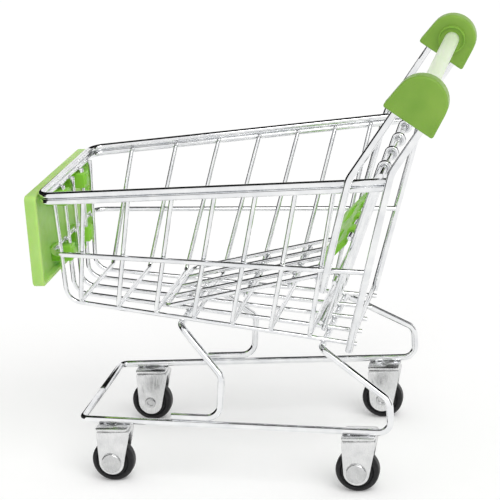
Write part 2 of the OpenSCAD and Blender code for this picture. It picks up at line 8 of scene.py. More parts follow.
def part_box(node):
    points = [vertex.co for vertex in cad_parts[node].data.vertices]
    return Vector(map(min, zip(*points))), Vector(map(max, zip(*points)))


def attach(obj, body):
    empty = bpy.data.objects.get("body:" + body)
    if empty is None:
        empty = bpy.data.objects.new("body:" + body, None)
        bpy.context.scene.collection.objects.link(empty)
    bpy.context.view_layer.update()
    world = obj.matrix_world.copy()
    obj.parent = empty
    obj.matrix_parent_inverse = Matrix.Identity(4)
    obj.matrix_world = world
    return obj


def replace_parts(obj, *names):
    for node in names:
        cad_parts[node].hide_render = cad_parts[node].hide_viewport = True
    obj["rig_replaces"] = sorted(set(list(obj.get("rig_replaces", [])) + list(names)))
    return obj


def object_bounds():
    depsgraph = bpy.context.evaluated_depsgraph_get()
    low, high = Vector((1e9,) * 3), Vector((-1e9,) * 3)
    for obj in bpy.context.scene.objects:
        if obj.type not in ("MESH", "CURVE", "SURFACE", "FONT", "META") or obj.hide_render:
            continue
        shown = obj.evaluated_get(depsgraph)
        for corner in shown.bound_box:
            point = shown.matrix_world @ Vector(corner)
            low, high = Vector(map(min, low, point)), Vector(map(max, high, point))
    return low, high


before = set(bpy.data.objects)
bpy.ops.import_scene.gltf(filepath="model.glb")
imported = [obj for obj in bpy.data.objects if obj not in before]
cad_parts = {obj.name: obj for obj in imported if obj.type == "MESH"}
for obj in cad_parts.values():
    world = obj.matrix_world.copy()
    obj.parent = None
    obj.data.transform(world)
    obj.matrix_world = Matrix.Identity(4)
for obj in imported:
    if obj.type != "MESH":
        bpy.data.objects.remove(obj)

cad_lo, cad_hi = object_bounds()

# The cart faces -X, its left side faces -Y, and it stands on Z = 0. Sizes are in metres.
MM = 0.001
X, Y, Z = Vector((1, 0, 0)), Vector((0, 1, 0)), Vector((0, 0, 1))
SIDES = {"left": -1, "right": 1}
CORNERS = {"fl": -1, "fr": 1, "rl": -1, "rr": 1}        # Each caster, and the side that it is on

# Modelling
MERGE = 0.0005 * MM
SAME_PLACE = 0.001 * MM
LEVEL = 0.01 * MM
BEND_STEP = 9        # Degrees between the rings of a bend, at most
SMOOTH_BELOW = math.radians(35)

# Wire sizes
FRAME_D = 2.8 * MM
RIM_D = 2.5 * MM
BELT_D = 2.0 * MM
MESH_D = 1.8 * MM
ROD_D = 2.0 * MM
SEAT_GAP = 0.03 * MM
RUN_GAP = 0.08 * MM
WIRE_SIDES = 20
CUT_END_BEVEL = 0.22 * MM

# Basket
RIM_L = 136 * MM
RIM_FRONT_W, RIM_REAR_W = 74 * MM, 106 * MM
FLOOR_FRONT_W = 52 * MM
RIM_FRONT_Z, RIM_REAR_Z = 116 * MM, 124.2 * MM
FLOOR_FRONT_Z, FLOOR_REAR_Z = 72.9 * MM, 58.2 * MM
BELT_FRONT_Z, BELT_REAR_Z = 93.7 * MM, 89.2 * MM
SIDE_WIRES = 7
SIDE_PITCH, SIDE_FIRST = 15.2 * MM, 8.8 * MM
SIDE_TOP_FIRST, SIDE_TOP_PITCH, SIDE_TOP_SHRINK = 17.4 * MM, 18.4 * MM, 0.8 * MM
FLOOR_WIRES = 5
NOSE_PITCH = 13 * MM
FLOOR_EDGE_INSET = 3.4 * MM
RIM_CORNER_R, MESH_BEND_R, NOSE_BEND_R = 6 * MM, 3 * MM, 6 * MM

# Chassis
RAIL_FRONT_INSET = 6.5 * MM
RAIL_L = 124.5 * MM
RAIL_FRONT_W, RAIL_REAR_W = 61 * MM, 82 * MM
UPRIGHT_Z = 38 * MM
REAR_SADDLE_INSET = 26.5 * MM
SUPPORT_INSET, SUPPORT_Z, SUPPORT_REACH = 59 * MM, 45 * MM, 17 * MM
SUPPORT_FOOT, SUPPORT_FOOT_R, SUPPORT_LEAN = 19.5 * MM, 6 * MM, 2 * MM
NOSE_CORNER_R, RAIL_BEND_R, SADDLE_BEND_R = 3 * MM, 5 * MM, 4 * MM
SADDLE_INSET = 0.5 * MM
NOSE_CUT_GAP = 0.05 * MM
BUTT_WELD_R, BUTT_WELD_H = 0.4 * MM, 0.07 * MM

# Casters
PLATE_CORNER_R, PLATE_EDGE = 1.5 * MM, 0.2 * MM
PIN_HEAD_R, PIN_HEAD_T, PIN_EDGE = 2.5 * MM, 0.8 * MM, 0.25 * MM
WASHER_R, WASHER_EDGE = 4 * MM, 0.15 * MM
FORK_T, FORK_CROWN_W, FORK_FOOT_R = 0.9 * MM, 13.6 * MM, 5 * MM
FORK_EDGE = 0.11 * MM
CROWN_CORNER_R, CROWN_FOLD, CROWN_FOLD_IN = 0.9 * MM, 1.2 * MM, 0.5 * MM
WHEEL_W, SIDE_GAP = 6.2 * MM, 0.4 * MM
TREAD_R, HUB_R, DISH_DEEP = 1.9 * MM, 3.6 * MM, 0.5 * MM
AXLE_D, PIVOT_D = 2.4 * MM, 2.6 * MM
RIVET_HEAD_R, RIVET_HEAD_T, RIVET_SHOULDER_R, RIVET_CROWN_H = 4 * MM, 1.3 * MM, 0.8 * MM, 0.18 * MM
SHOULDER_STEP = 12        # Degrees
RIVET_TAIL_R, TAIL_HOLLOW = 2.3 * MM, 0.4 * MM

# Handle
HANDLE_RAKE = math.radians(54)
POST_GAP = 11 * MM
POST_BEND_R = 12 * MM
TUBE_D, TUBE_WALL, TUBE_EDGE, TUBE_PARTS = 6 * MM, 1 * MM, 0.3 * MM, 12
BRACKET_T, BRACKET_R, BRACKET_DROP, BRACKET_FLARE = 7 * MM, 9.5 * MM, 8.6 * MM, 1 * MM
BRACKET_FOOT_R, BRACKET_EDGE = 0.9 * MM, 0.8 * MM
RING_R, RING_H, RING_SINK, RING_EDGE = 5.4 * MM, 2.2 * MM, 0.4 * MM, 0.14 * MM
RING_LIP, RING_SLOPE, RING_DEEP = 0.5 * MM, 0.1 * MM, 0.8 * MM

# Gate and seat
GATE_LEAN = math.radians(21.5)
GATE_TOP_W, GATE_FOOT_W = 42 * MM, 27 * MM
GATE_BARS = 5
SEAT_DROP, FLAP_DROP, FOOT_UP = 52 * MM, 32 * MM, 3 * MM
SEAT_L, SEAT_W = 69 * MM, 24 * MM
SEAT_CROSS_AT = [8 * MM, 19 * MM, 37 * MM]
SEAT_WIRES = 3
FLAP_W, FLAP_L, FLAP_T = 70 * MM, 16.5 * MM, 2 * MM
FLAP_SLOPE = math.radians(43)
KNUCKLE_W, KNUCKLE_WALL = 5 * MM, 1.1 * MM
SLOT_W, SLOT_L, SLOT_CORNER_R, SLOT_SHIFT = 5 * MM, FLAP_W / 4, 2 * MM, 1.5 * MM
STRIP_CORNER_R, STRIP_SETBACK, NECK_LAP, NECK_T = 1.2 * MM, 0.6 * MM, 0.6 * MM, 1.9 * MM
FLAP_EDGE, NECK_EDGE, BARREL_EDGE = 0.35 * MM, 0.2 * MM, 0.25 * MM
HOOK_TURN = math.radians(248)
CROSS_OVER = 1 * MM

# Nose plaque
PLAQUE_WALL, PLAQUE_CORNER_R, PLAQUE_EDGE, PLAQUE_EDGE_IN = 1.5 * MM, 2.1 * MM, 0.6 * MM, 0.4 * MM
CLIP_W, CLIP_Z, PEG_D, PEG_L = 6 * MM, 11.3 * MM, 3 * MM, 3 * MM
PAD_INSET, PAD_SLOPE, PAD_H = 1.1 * MM, 0.15 * MM, 0.5 * MM
CLIP_EDGE, PEG_EDGE = 0.3 * MM, 0.2 * MM


def middle(node):
    lo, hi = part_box(node)
    return (lo + hi) / 2


def mix(a, b, t):
    return a + (b - a) * t


def placed(at, x, y, z):
    """Place whose own axes run along these directions."""
    place = Matrix((x, y, z)).transposed().to_4x4()
    place.translation = at
    return place


# Places taken from the frame
rim_front_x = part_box("rim_lower")[0].x + RIM_D / 2
rim_rear_x = rim_front_x + RIM_L
floor_rear_x = middle("floor_rear_wire").x
mesh_front_x = rim_front_x + (RIM_D + MESH_D) / 2 + SEAT_GAP
rail_front_x = rim_front_x + RAIL_FRONT_INSET
rail_rear_x = rail_front_x + RAIL_L
rail_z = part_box("caster_plate_fl")[1].z + SEAT_GAP + FRAME_D / 2
rod = middle("hinge_rod")
handle = middle("handle_tube")
tube_end_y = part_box("handle_tube")[1].y

# The side walls are planes: they widen to the rear and splay upwards
splay = (RIM_FRONT_W - FLOOR_FRONT_W) / 2 / (RIM_FRONT_Z - FLOOR_FRONT_Z)
taper = ((RIM_REAR_W - RIM_FRONT_W) / 2 - splay * (RIM_REAR_Z - RIM_FRONT_Z)) / RIM_L
wall_tilt = Vector((1, splay, taper)).length
mesh_in = -((RIM_D + MESH_D) / 2 + SEAT_GAP) * wall_tilt
belt_in = mesh_in + ((MESH_D + BELT_D) / 2 + SEAT_GAP) * wall_tilt
post_out = ((RIM_D + FRAME_D) / 2 + SEAT_GAP) * wall_tilt


def side_y(x, z):
    return RIM_FRONT_W / 2 + taper * (x - rim_front_x) + splay * (z - RIM_FRONT_Z)


def on_side(x, z, out=0):
    """Point of the right side wall, or one beside it."""
    return Vector((x, side_y(x, z) + out, z))


def rim_z(x):
    return mix(RIM_FRONT_Z, RIM_REAR_Z, (x - rim_front_x) / RIM_L)


def floor_z(x):
    return mix(FLOOR_FRONT_Z, FLOOR_REAR_Z, (x - mesh_front_x) / (floor_rear_x - mesh_front_x))


floor_tilt = math.hypot(1, (FLOOR_FRONT_Z - FLOOR_REAR_Z) / (floor_rear_x - mesh_front_x))
under_mesh = (MESH_D + SEAT_GAP) * floor_tilt
under_saddle = under_mesh + ((MESH_D + FRAME_D) / 2 + SEAT_GAP) * floor_tilt


# Finishes
def give(socket, value):
    """Gives a socket its constant, or the other socket that feeds it."""
    if isinstance(value, bpy.types.NodeSocket):
        socket.id_data.links.new(value, socket)
    else:
        socket.default_value = value


def fill(node, **inputs):
    """Gives the node's inputs their values by name: Base_Color is Base Color."""
    for name, value in inputs.items():
        give(node.inputs[name.replace("_", " ")], value)


def new_finish(name):
    """A material with one shader, and the Object coordinates that its patterns lie on."""
    finish = bpy.data.materials.new(name)
    finish.use_nodes = True
    nodes = finish.node_tree.nodes
    nodes.clear()
    shader, place = nodes.new("ShaderNodeBsdfPrincipled"), nodes.new("ShaderNodeTexCoord")
    fill(nodes.new("ShaderNodeOutputMaterial"), Surface=shader.outputs["BSDF"])
    return finish, shader, place.outputs["Object"]


def add_node(source, kind, result, **inputs):
    """Adds a node to the tree that the source is in, and gives one of its outputs."""
    node = source.id_data.nodes.new("ShaderNode" + kind)
    fill(node, **inputs)
    return node.outputs[result]


def noise(place, scale, detail=3.0, roughness=0.5):
    return add_node(place, "TexNoise", "Fac", Vector=place, Scale=scale, Detail=detail, Roughness=roughness)


def stretched(place, scale):
    return add_node(place, "Mapping", "Vector", Vector=place, Scale=scale)


def ranged(value, low, high):
    return add_node(value, "MapRange", "Result", Value=value, From_Min=0.35, From_Max=0.65, To_Min=low,
        To_Max=high)


def toned(value, dark, pale, low=0.3, high=0.7):
    tone = add_node(value, "ValToRGB", "Color", Fac=value)
    for stop, at, colour in zip(tone.node.color_ramp.elements, (low, high), (dark, pale)):
        stop.position = at
        stop.color = (*colour, 1)
    return tone


def bumped(height, depth, strength, over=None):
    """Bumps of this depth, on top of others if they are given."""
    bump = add_node(height, "Bump", "Normal", Height=height, Strength=strength, Distance=depth)
    if over is not None:
        fill(bump.node, Normal=over)
    return bump


def plated_chrome():
    """Bright plate over drawn wire: slow waves under the plate, fine pits and hazy patches."""
    finish, shader, place = new_finish("plated_chrome")
    plate = toned(noise(place, 170.0), (0.77, 0.78, 0.80), (0.91, 0.915, 0.92))
    haze = noise(place, 900.0, detail=5.0)
    waves = bumped(noise(place, 160.0, detail=1.0), 0.03 * MM, 0.5)
    pits = bumped(noise(place, 3600.0, detail=4.0), 0.006 * MM, 0.4, over=waves)
    fill(shader, Metallic=1.0, Base_Color=plate, Roughness=ranged(haze, 0.05, 0.17), Normal=pits)
    return finish


def weld_metal():
    """Plated weld spots: the same plate over a rougher, greyer lump."""
    finish, shader, place = new_finish("plated_weld")
    patches = noise(place, 1400.0, detail=4.0)
    plate = toned(patches, (0.50, 0.51, 0.53), (0.82, 0.82, 0.83))
    lumps = bumped(noise(place, 1900.0), 0.09 * MM, 0.8)
    fill(shader, Metallic=1.0, Base_Color=plate, Roughness=ranged(patches, 0.34, 0.16), Normal=lumps)
    return finish


def pressed_zinc(name, dark, pale):
    """Zinc-plated steel: fine rolling marks, cloudy patches and small scuffs."""
    finish, shader, place = new_finish(name)
    clouds = noise(place, 260.0, detail=5.0, roughness=0.6)
    rolled = noise(stretched(place, (2600.0, 2600.0, 160.0)), 1.0, detail=4.0)
    grain = bumped(rolled, 0.008 * MM, 0.4)
    dents = bumped(noise(place, 420.0, detail=2.0), 0.05 * MM, 0.5, over=grain)
    fill(shader, Metallic=1.0, Base_Color=toned(clouds, dark, pale), Roughness=ranged(rolled, 0.18, 0.34),
        Normal=dents)
    return finish


def green_plastic(name, dark, pale, glow, glow_depth=1.6 * MM):
    """Moulded soft-gloss plastic: slow colour drift, faint flow marks, spark-textured skin."""
    finish, shader, place = new_finish(name)
    drift, handling = noise(place, 70.0), noise(place, 330.0, detail=4.0)
    flow = bumped(noise(stretched(place, (120.0, 120.0, 380.0)), 1.0), 0.04 * MM, 0.35)
    skin = bumped(noise(place, 4200.0), 0.012 * MM, 0.55, over=flow)
    fill(shader, Base_Color=toned(drift, dark, pale), Roughness=ranged(handling, 0.33, 0.5), Normal=skin,
        IOR=1.48, Specular_IOR_Level=0.32, Subsurface_Weight=glow, Subsurface_Scale=glow_depth,
        Subsurface_Radius=(0.6, 1.0, 0.25))
    return finish


def frosted_tube():
    """Pale milky tube: faint draw lines along it and a soft glow."""
    finish, shader, place = new_finish("frosted_tube")
    milk = toned(noise(place, 120.0), (0.73, 0.93, 0.58), (0.79, 0.95, 0.66))
    drawn = noise(stretched(place, (1500.0, 60.0, 1500.0)), 1.0)
    fill(shader, Base_Color=milk, Roughness=ranged(drawn, 0.28, 0.42), Normal=bumped(drawn, 0.02 * MM, 0.35),
        Subsurface_Weight=0.55, Subsurface_Scale=2.5 * MM, Subsurface_Radius=(0.8, 1.0, 0.6))
    return finish


def black_tyre():
    """Hard black wheel plastic with a satin tread, moulding grain and pale rolling scuffs."""
    finish, shader, place = new_finish("black_tyre")
    scuffs = noise(stretched(place, (500.0, 1900.0, 500.0)), 1.0, detail=6.0, roughness=0.65)
    black = toned(scuffs, (0.005, 0.005, 0.006), (0.022, 0.022, 0.023), 0.45, 0.8)
    grain = bumped(noise(place, 3800.0), 0.02 * MM, 0.6)
    fill(shader, Base_Color=black, Roughness=ranged(scuffs, 0.3, 0.55), Specular_IOR_Level=0.3, Normal=grain)
    return finish


CHROME = plated_chrome()
WELD = weld_metal()
ZINC = pressed_zinc("pressed_zinc", (0.66, 0.665, 0.67), (0.81, 0.81, 0.81))
RIVET_STEEL = pressed_zinc("rivet_steel", (0.52, 0.525, 0.53), (0.70, 0.70, 0.70))
BRACKET_GREEN = green_plastic("bracket_green", (0.20, 0.38, 0.05), (0.27, 0.46, 0.07), 0.35)
PLAQUE_GREEN = green_plastic("plaque_green", (0.41, 0.65, 0.16), (0.49, 0.72, 0.23), 0.7, 3 * MM)
CLIP_GREEN = green_plastic("clip_green", (0.22, 0.57, 0.035), (0.29, 0.65, 0.06), 0.3)
TUBE = frosted_tube()
TYRE = black_tyre()


# Modelling
def clear_selection():
    bpy.ops.object.select_all(action="DESELECT")


def begin(name):
    """Names the piece that an operator just added, settles its place in its mesh and opens it."""
    piece = bpy.context.object
    piece.name = piece.data.name = name
    bpy.ops.object.transform_apply()
    bpy.ops.object.mode_set(mode="EDIT")
    bpy.ops.mesh.select_mode(type="VERT")
    bpy.ops.mesh.select_all(action="SELECT")
    return piece


def take_up(piece):
    clear_selection()
    piece.select_set(True)
    bpy.context.view_layer.objects.active = piece


def open_at(piece, kind, chosen):
    """Opens the piece in edit mode with the faces or edges selected that the test picks."""
    take_up(piece)
    bpy.ops.object.mode_set(mode="EDIT")
    bpy.ops.mesh.select_mode(type=kind)
    bpy.ops.mesh.select_all(action="DESELECT")
    bpy.ops.object.mode_set(mode="OBJECT")
    for part in piece.data.polygons if kind == "FACE" else piece.data.edges:
        part.select = chosen(part)
    bpy.ops.object.mode_set(mode="EDIT")


def round_folds(piece, height, r, segments):
    """Rounds the edges that lie above this height along Y and don't run along Z."""
    def chosen(edge):
        ends = [piece.data.vertices[v].co for v in edge.vertices]
        return all(p.y > height for p in ends) and abs(ends[0].z - ends[1].z) < LEVEL

    open_at(piece, "EDGE", chosen)
    bpy.ops.mesh.bevel(offset=r, segments=segments, affect="EDGES")
    put_down(piece)


def merge_all():
    bpy.ops.mesh.select_all(action="SELECT")
    bpy.ops.mesh.remove_doubles(threshold=MERGE)


def put_down(piece):
    """Merges doubles, turns every face outwards and leaves edit mode."""
    bpy.ops.mesh.select_mode(type="VERT")
    merge_all()
    bpy.ops.mesh.normals_make_consistent(inside=False)
    bpy.ops.object.mode_set(mode="OBJECT")
    return piece


def start_ring(name, at, heading, d):
    clear_selection()
    bpy.ops.mesh.primitive_circle_add(vertices=WIRE_SIDES, radius=d / 2, fill_type="NOTHING", location=at,
        rotation=heading.to_track_quat("Z", "X").to_euler())
    return begin(name)


def start_point(name, at):
    clear_selection()
    bpy.ops.mesh.primitive_plane_add(size=MM, location=at)
    piece = begin(name)
    bpy.ops.mesh.merge(type="CENTER")
    bpy.ops.mesh.select_all(action="SELECT")
    return piece


def follow(at, moves):
    """Draws what is selected along the moves: straight to a point, or a turn about an axis."""
    for move in moves:
        if move[0] == "to":
            if (move[1] - at).length > SAME_PLACE:
                bpy.ops.mesh.extrude_region_move(TRANSFORM_OT_translate={"value": move[1] - at})
                at = move[1]
        else:
            centre, axis, turn = move[1:]
            steps = max(3, math.ceil(math.degrees(turn) / BEND_STEP))
            bpy.ops.mesh.spin(steps=steps, angle=turn, center=centre, axis=-axis)
            at = centre + Matrix.Rotation(turn, 3, axis) @ (at - centre)
    return at


def route(points, radii):
    """Moves from the first point through the others, with a bend of its own radius at each inner one."""
    moves = []
    for before, corner, after, r in zip(points, points[1:], points[2:], radii):
        heading, onward = (corner - before).normalized(), (after - corner).normalized()
        turn = heading.angle(onward)
        start = corner - heading * r * math.tan(turn / 2)
        side = (onward - heading * heading.dot(onward)).normalized()
        moves += [("to", start), ("turn", start + side * r, heading.cross(side), turn)]
    return moves + [("to", points[-1])]


def place_piece(piece, place):
    """Moves the piece by a matrix and settles that in its mesh."""
    take_up(piece)
    piece.matrix_world = place
    bpy.ops.object.transform_apply()
    return piece


def apply_modifier(piece, kind, **settings):
    take_up(piece)
    modifier = piece.modifiers.new(kind.lower(), kind)
    for key, value in settings.items():
        setattr(modifier, key, value)
    bpy.ops.object.modifier_apply(modifier=modifier.name)


def cut(piece, *cutters):
    for cutter in cutters:
        apply_modifier(piece, "BOOLEAN", operation="DIFFERENCE", solver="EXACT", object=cutter)
        bpy.data.objects.remove(cutter)


def fuse(piece, *others):
    for other in others:
        apply_modifier(piece, "BOOLEAN", operation="UNION", solver="EXACT", object=other)
        bpy.data.objects.remove(other)


def soften(piece, width, segments=2, angle=50):
    apply_modifier(piece, "BEVEL", width=width, segments=segments, limit_method="ANGLE",
        angle_limit=math.radians(angle), harden_normals=False)


def finish_piece(piece, finish, slot, body, *nodes):
    """Gives the piece its finish, its body and the nodes that it stands for."""
    take_up(piece)
    bpy.ops.object.shade_smooth_by_angle(angle=SMOOTH_BELOW)
    piece.data.materials.clear()
    piece.data.materials.append(finish)
    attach(piece, body)
    if nodes:
        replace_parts(piece, *nodes)


def copy_piece(piece, name, place):
    """A copy with its own mesh; a mirrored one has its faces turned outwards again."""
    copy = piece.copy()
    copy.data = piece.data.copy()
    copy.name = copy.data.name = name
    bpy.context.collection.objects.link(copy)
    place_piece(copy, place)
    if place.determinant() < 0:
        bpy.ops.object.mode_set(mode="EDIT")
        put_down(copy)
    return copy


def box_piece(name, centre, size):
    clear_selection()
    bpy.ops.mesh.primitive_cube_add(size=1, location=centre, scale=size)
    return put_down(begin(name))


def rod_piece(name, centre, axis, r, length, vertices=32):
    clear_selection()
    bpy.ops.mesh.primitive_cylinder_add(vertices=vertices, radius=r, depth=length, location=centre,
        rotation=axis.to_track_quat("Z", "X").to_euler())
    return put_down(begin(name))


def outline_piece(name, start, moves, height):
    """A plate: the outline is drawn in the XY plane, filled and drawn up along Z."""
    piece = start_point(name, start)
    follow(start, moves)
    merge_all()
    bpy.ops.mesh.edge_face_add()
    bpy.ops.mesh.extrude_region_move(TRANSFORM_OT_translate={"value": height})
    return put_down(piece)


def rounded_plate(name, w, h, r, t):
    """A plate with round corners, drawn up from the XY plane about its origin."""
    corners = [Vector((x * w / 2, y * h / 2, 0)) for x, y in ((1, -1), (1, 1), (-1, 1), (-1, -1))]
    start = Vector((0, -h / 2, 0))
    return outline_piece(name, start, route([start, *corners, start], [r] * 4), Z * t)


def lathe_piece(name, place, profile, steps=48):
    """Turns a profile of (radius, along) points about Z. It ends on the axis or closes on itself."""
    start = Vector((profile[0][0], 0, profile[0][1]))
    piece = start_point(name, start)
    follow(start, [("to", Vector((r, 0, along))) for r, along in profile[1:]])
    bpy.ops.mesh.select_all(action="SELECT")
    bpy.ops.mesh.spin(steps=steps, angle=math.tau, center=(0, 0, 0), axis=Z)
    put_down(piece)
    return place_piece(piece, place)


def arc(centre, r, start, end, steps):
    """Points of a profile along an arc, angles in degrees."""
    angles = [math.radians(mix(start, end, i / steps)) for i in range(steps + 1)]
    return [(centre[0] + r * math.cos(a), centre[1] + r * math.sin(a)) for a in angles]


# Wires
straights = []


def bend_wire(name, at, heading, moves, d, body, *nodes, place=Matrix()):
    """One length of wire, bent along the moves, with softened cut ends. The welds need its straights."""
    piece = start_ring(name, at, heading, d)
    here = at
    for move in moves:
        there = follow(here, [move])
        if move[0] == "to":
            straights.append((body, name, place @ here, place @ there, d))
        here = there
    merge_all()
    bpy.ops.mesh.select_all(action="DESELECT")
    bpy.ops.mesh.select_non_manifold()
    bpy.ops.mesh.edge_face_add()
    bpy.ops.mesh.bevel(offset=CUT_END_BEVEL, segments=2, affect="EDGES")
    put_down(piece)
    if place != Matrix():
        place_piece(piece, place)
    finish_piece(piece, CHROME, "chrome_wire", body, *nodes)


def wire(name, points, radii, d, body, *nodes, place=Matrix()):
    heading = (points[1] - points[0]).normalized()
    bend_wire(name, points[0], heading, route(points, radii), d, body, *nodes, place=place)


def paired_wire(name, right, radii, d, node):
    """A wire of the cart that is given by its right half: the left half comes first."""
    left = [Vector((p.x, -p.y, p.z)) for p in reversed(right)]
    wire(name, left + right, radii[::-1] + radii, d, "cart", node)


def cross_wire(name, x, half, z, d, body, node, place=Matrix()):
    """A straight wire from the left to the right."""
    wire(name, [Vector((x, -half, z)), Vector((x, half, z))], [], d, body, node, place=place)


def hook_point(r, angle):
    """Point of a hook about the Y axis; the angle turns from +X towards -Z."""
    return Vector((r * math.cos(angle), 0, -r * math.sin(angle)))


def hook_heading(angle):
    return Vector((-math.sin(angle), 0, -math.cos(angle)))


def make_chassis():
    saddle_x = rail_rear_x - REAR_SADDLE_INSET
    right = [
        on_side(saddle_x, floor_z(saddle_x) - under_saddle, -SADDLE_INSET),
        Vector((rail_rear_x, RAIL_REAR_W / 2, UPRIGHT_Z)),
        Vector((rail_rear_x, RAIL_REAR_W / 2, rail_z)),
        Vector((rail_front_x, RAIL_FRONT_W / 2, rail_z)),
        Vector((rail_front_x, NOSE_CUT_GAP, rail_z))]
    radii = [SADDLE_BEND_R, RAIL_BEND_R, RAIL_BEND_R, NOSE_CORNER_R]
    paired_wire("chassis_loop_wire", right, radii, FRAME_D, "chassis_loop")

    # The loop's butt weld, ground low and plated over
    clear_selection()
    bpy.ops.mesh.primitive_torus_add(major_segments=36, minor_segments=16,
        major_radius=FRAME_D / 2 + BUTT_WELD_H - BUTT_WELD_R, minor_radius=BUTT_WELD_R,
        location=(rail_front_x, 0, rail_z), rotation=(math.pi / 2, 0, 0))
    bead = put_down(begin("nose_butt_weld"))
    finish_piece(bead, CHROME, "chrome_wire", "cart")


def rail_y(x):
    return mix(RAIL_FRONT_W, RAIL_REAR_W, (x - rail_front_x) / RAIL_L) / 2


def make_front_support():
    upright_x = rail_front_x + SUPPORT_INSET
    foot_x = upright_x - SUPPORT_LEAN
    saddle_x = upright_x - SUPPORT_REACH
    foot_z = rail_z + FRAME_D + SEAT_GAP
    right = [
        on_side(saddle_x, floor_z(saddle_x) - under_saddle, mesh_in),
        Vector((upright_x, rail_y(upright_x) - SADDLE_INSET, SUPPORT_Z)),
        Vector((foot_x, rail_y(foot_x), foot_z)),
        Vector((foot_x - SUPPORT_FOOT, rail_y(foot_x - SUPPORT_FOOT), foot_z))]
    radii = [SADDLE_BEND_R, SADDLE_BEND_R, SUPPORT_FOOT_R]
    paired_wire("front_support_wire", right, radii, FRAME_D, "front_support")


def make_rims():
    for node, up in (("rim_lower", 0), ("rim_upper", RIM_D + SEAT_GAP)):
        right = [
            Vector((rim_front_x, RIM_FRONT_W / 2, RIM_FRONT_Z + up)),
            Vector((rim_rear_x, side_y(rim_rear_x, RIM_REAR_Z), RIM_REAR_Z + up))]
        paired_wire(node + "_wire", right, [RIM_CORNER_R], RIM_D, node)


def make_belt():
    front_x = mesh_front_x - (MESH_D + BELT_D) / 2 - SEAT_GAP
    rear_x = rear_post_x(BELT_REAR_Z)
    right = [on_side(front_x, BELT_FRONT_Z, belt_in), on_side(rear_x, BELT_REAR_Z, belt_in)]
    paired_wire("belt_loop_wire", right, [RIM_CORNER_R], BELT_D, "belt_wire")


def make_side_wires():
    for k in range(SIDE_WIRES):
        top_x = rim_front_x + SIDE_TOP_FIRST + k * SIDE_TOP_PITCH - k * (k - 1) / 2 * SIDE_TOP_SHRINK
        foot_x = rim_front_x + SIDE_FIRST + k * SIDE_PITCH
        right = [on_side(foot_x, floor_z(foot_x), mesh_in), on_side(top_x, rim_z(top_x), mesh_in)]
        paired_wire(f"basket_side_wire_{k + 1}", right, [MESH_BEND_R], MESH_D, f"side_wire_{k + 1}")


def floor_y(x, j):
    """Floor wire j counts from -1 at the left edge to 1 at the right edge."""
    return j * (side_y(x, floor_z(x)) + mesh_in - FLOOR_EDGE_INSET)


def nose_foot(i):
    j = 2 * i / (FLOOR_WIRES - 1) - 1
    return Vector((mesh_front_x, floor_y(mesh_front_x, j), floor_z(mesh_front_x) - under_mesh))


def nose_top(i):
    return Vector((mesh_front_x, (i - (FLOOR_WIRES - 1) / 2) * NOSE_PITCH, RIM_FRONT_Z))


def make_floor_wires():
    end_x = floor_rear_x + MESH_D
    for i in range(FLOOR_WIRES):
        j = 2 * i / (FLOOR_WIRES - 1) - 1
        end = Vector((end_x, floor_y(end_x, j), floor_z(end_x) - under_mesh))
        wire(f"basket_floor_wire_{i + 1}", [end, nose_foot(i), nose_top(i)], [NOSE_BEND_R], MESH_D, "cart",
            f"floor_wire_{i + 1}")
    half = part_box("floor_rear_wire")[1].y
    cross_wire("basket_floor_rear_wire", floor_rear_x, half, FLOOR_REAR_Z, MESH_D, "cart", "floor_rear_wire")


# Posts
rake_dir = Vector((math.cos(HANDLE_RAKE), 0, math.sin(HANDLE_RAKE)))
rake_side = Vector((-math.sin(HANDLE_RAKE), 0, math.cos(HANDLE_RAKE)))
REAR_POST_RISE, FRONT_POST_RISE = 6.8 * MM, 3.8 * MM
FRONT_POST_RUN = 14.2 * MM
REAR_POST_AHEAD, REAR_POST_BELOW_FLOOR = 0.3 * MM, 2.2 * MM
FRONT_POST_BELOW_BELT = 7.4 * MM
BRACKET_BEND_DROP = 9 * MM


def leg_at(side, z):
    """Point of a post's raked leg at height z: side 1 is the front leg and -1 the rear one."""
    point = handle + rake_side * (side * POST_GAP / 2)
    return point + rake_dir * ((z - point.z) / rake_dir.z)


rear_post_foot = Vector((floor_rear_x - REAR_POST_AHEAD, 0, FLOOR_REAR_Z - REAR_POST_BELOW_FLOOR))
rear_bend = leg_at(-1, RIM_REAR_Z + REAR_POST_RISE)
front_bend = leg_at(1, RIM_REAR_Z + FRONT_POST_RISE)
front_post_foot = Vector((front_bend.x - FRONT_POST_RUN, 0, BELT_REAR_Z - FRONT_POST_BELOW_BELT))
bracket_y = side_y(rear_bend.x, rear_bend.z) + post_out


def rear_post_x(z):
    return mix(rear_post_foot.x, rear_bend.x, (z - rear_post_foot.z) / (rear_bend.z - rear_post_foot.z))


def make_posts():
    def on_wall(p):
        return on_side(p.x, p.z, post_out)

    def at_bracket(p):
        return Vector((p.x, bracket_y, p.z))

    hairpin = handle + rake_dir * (POST_GAP / 2)
    path = [
        on_wall(front_post_foot),
        on_wall(front_bend),
        at_bracket(leg_at(1, handle.z - BRACKET_BEND_DROP)),
        at_bracket(hairpin + rake_side * (POST_GAP / 2)),
        at_bracket(hairpin - rake_side * (POST_GAP / 2)),
        at_bracket(rear_bend),
        on_wall(rear_post_foot)]
    radii = [POST_BEND_R, POST_BEND_R, POST_GAP / 2, POST_GAP / 2, POST_BEND_R]
    for tag, side in SIDES.items():
        points = [Vector((p.x, side * p.y, p.z)) for p in path]
        wire(f"handle_post_{tag}", points, radii, FRAME_D, "cart", f"post_wire_{tag}")


def make_hinge_rod():
    cross_wire("gate_hinge_rod", rod.x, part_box("hinge_rod")[1].y, rod.z, ROD_D, "cart", "hinge_rod")


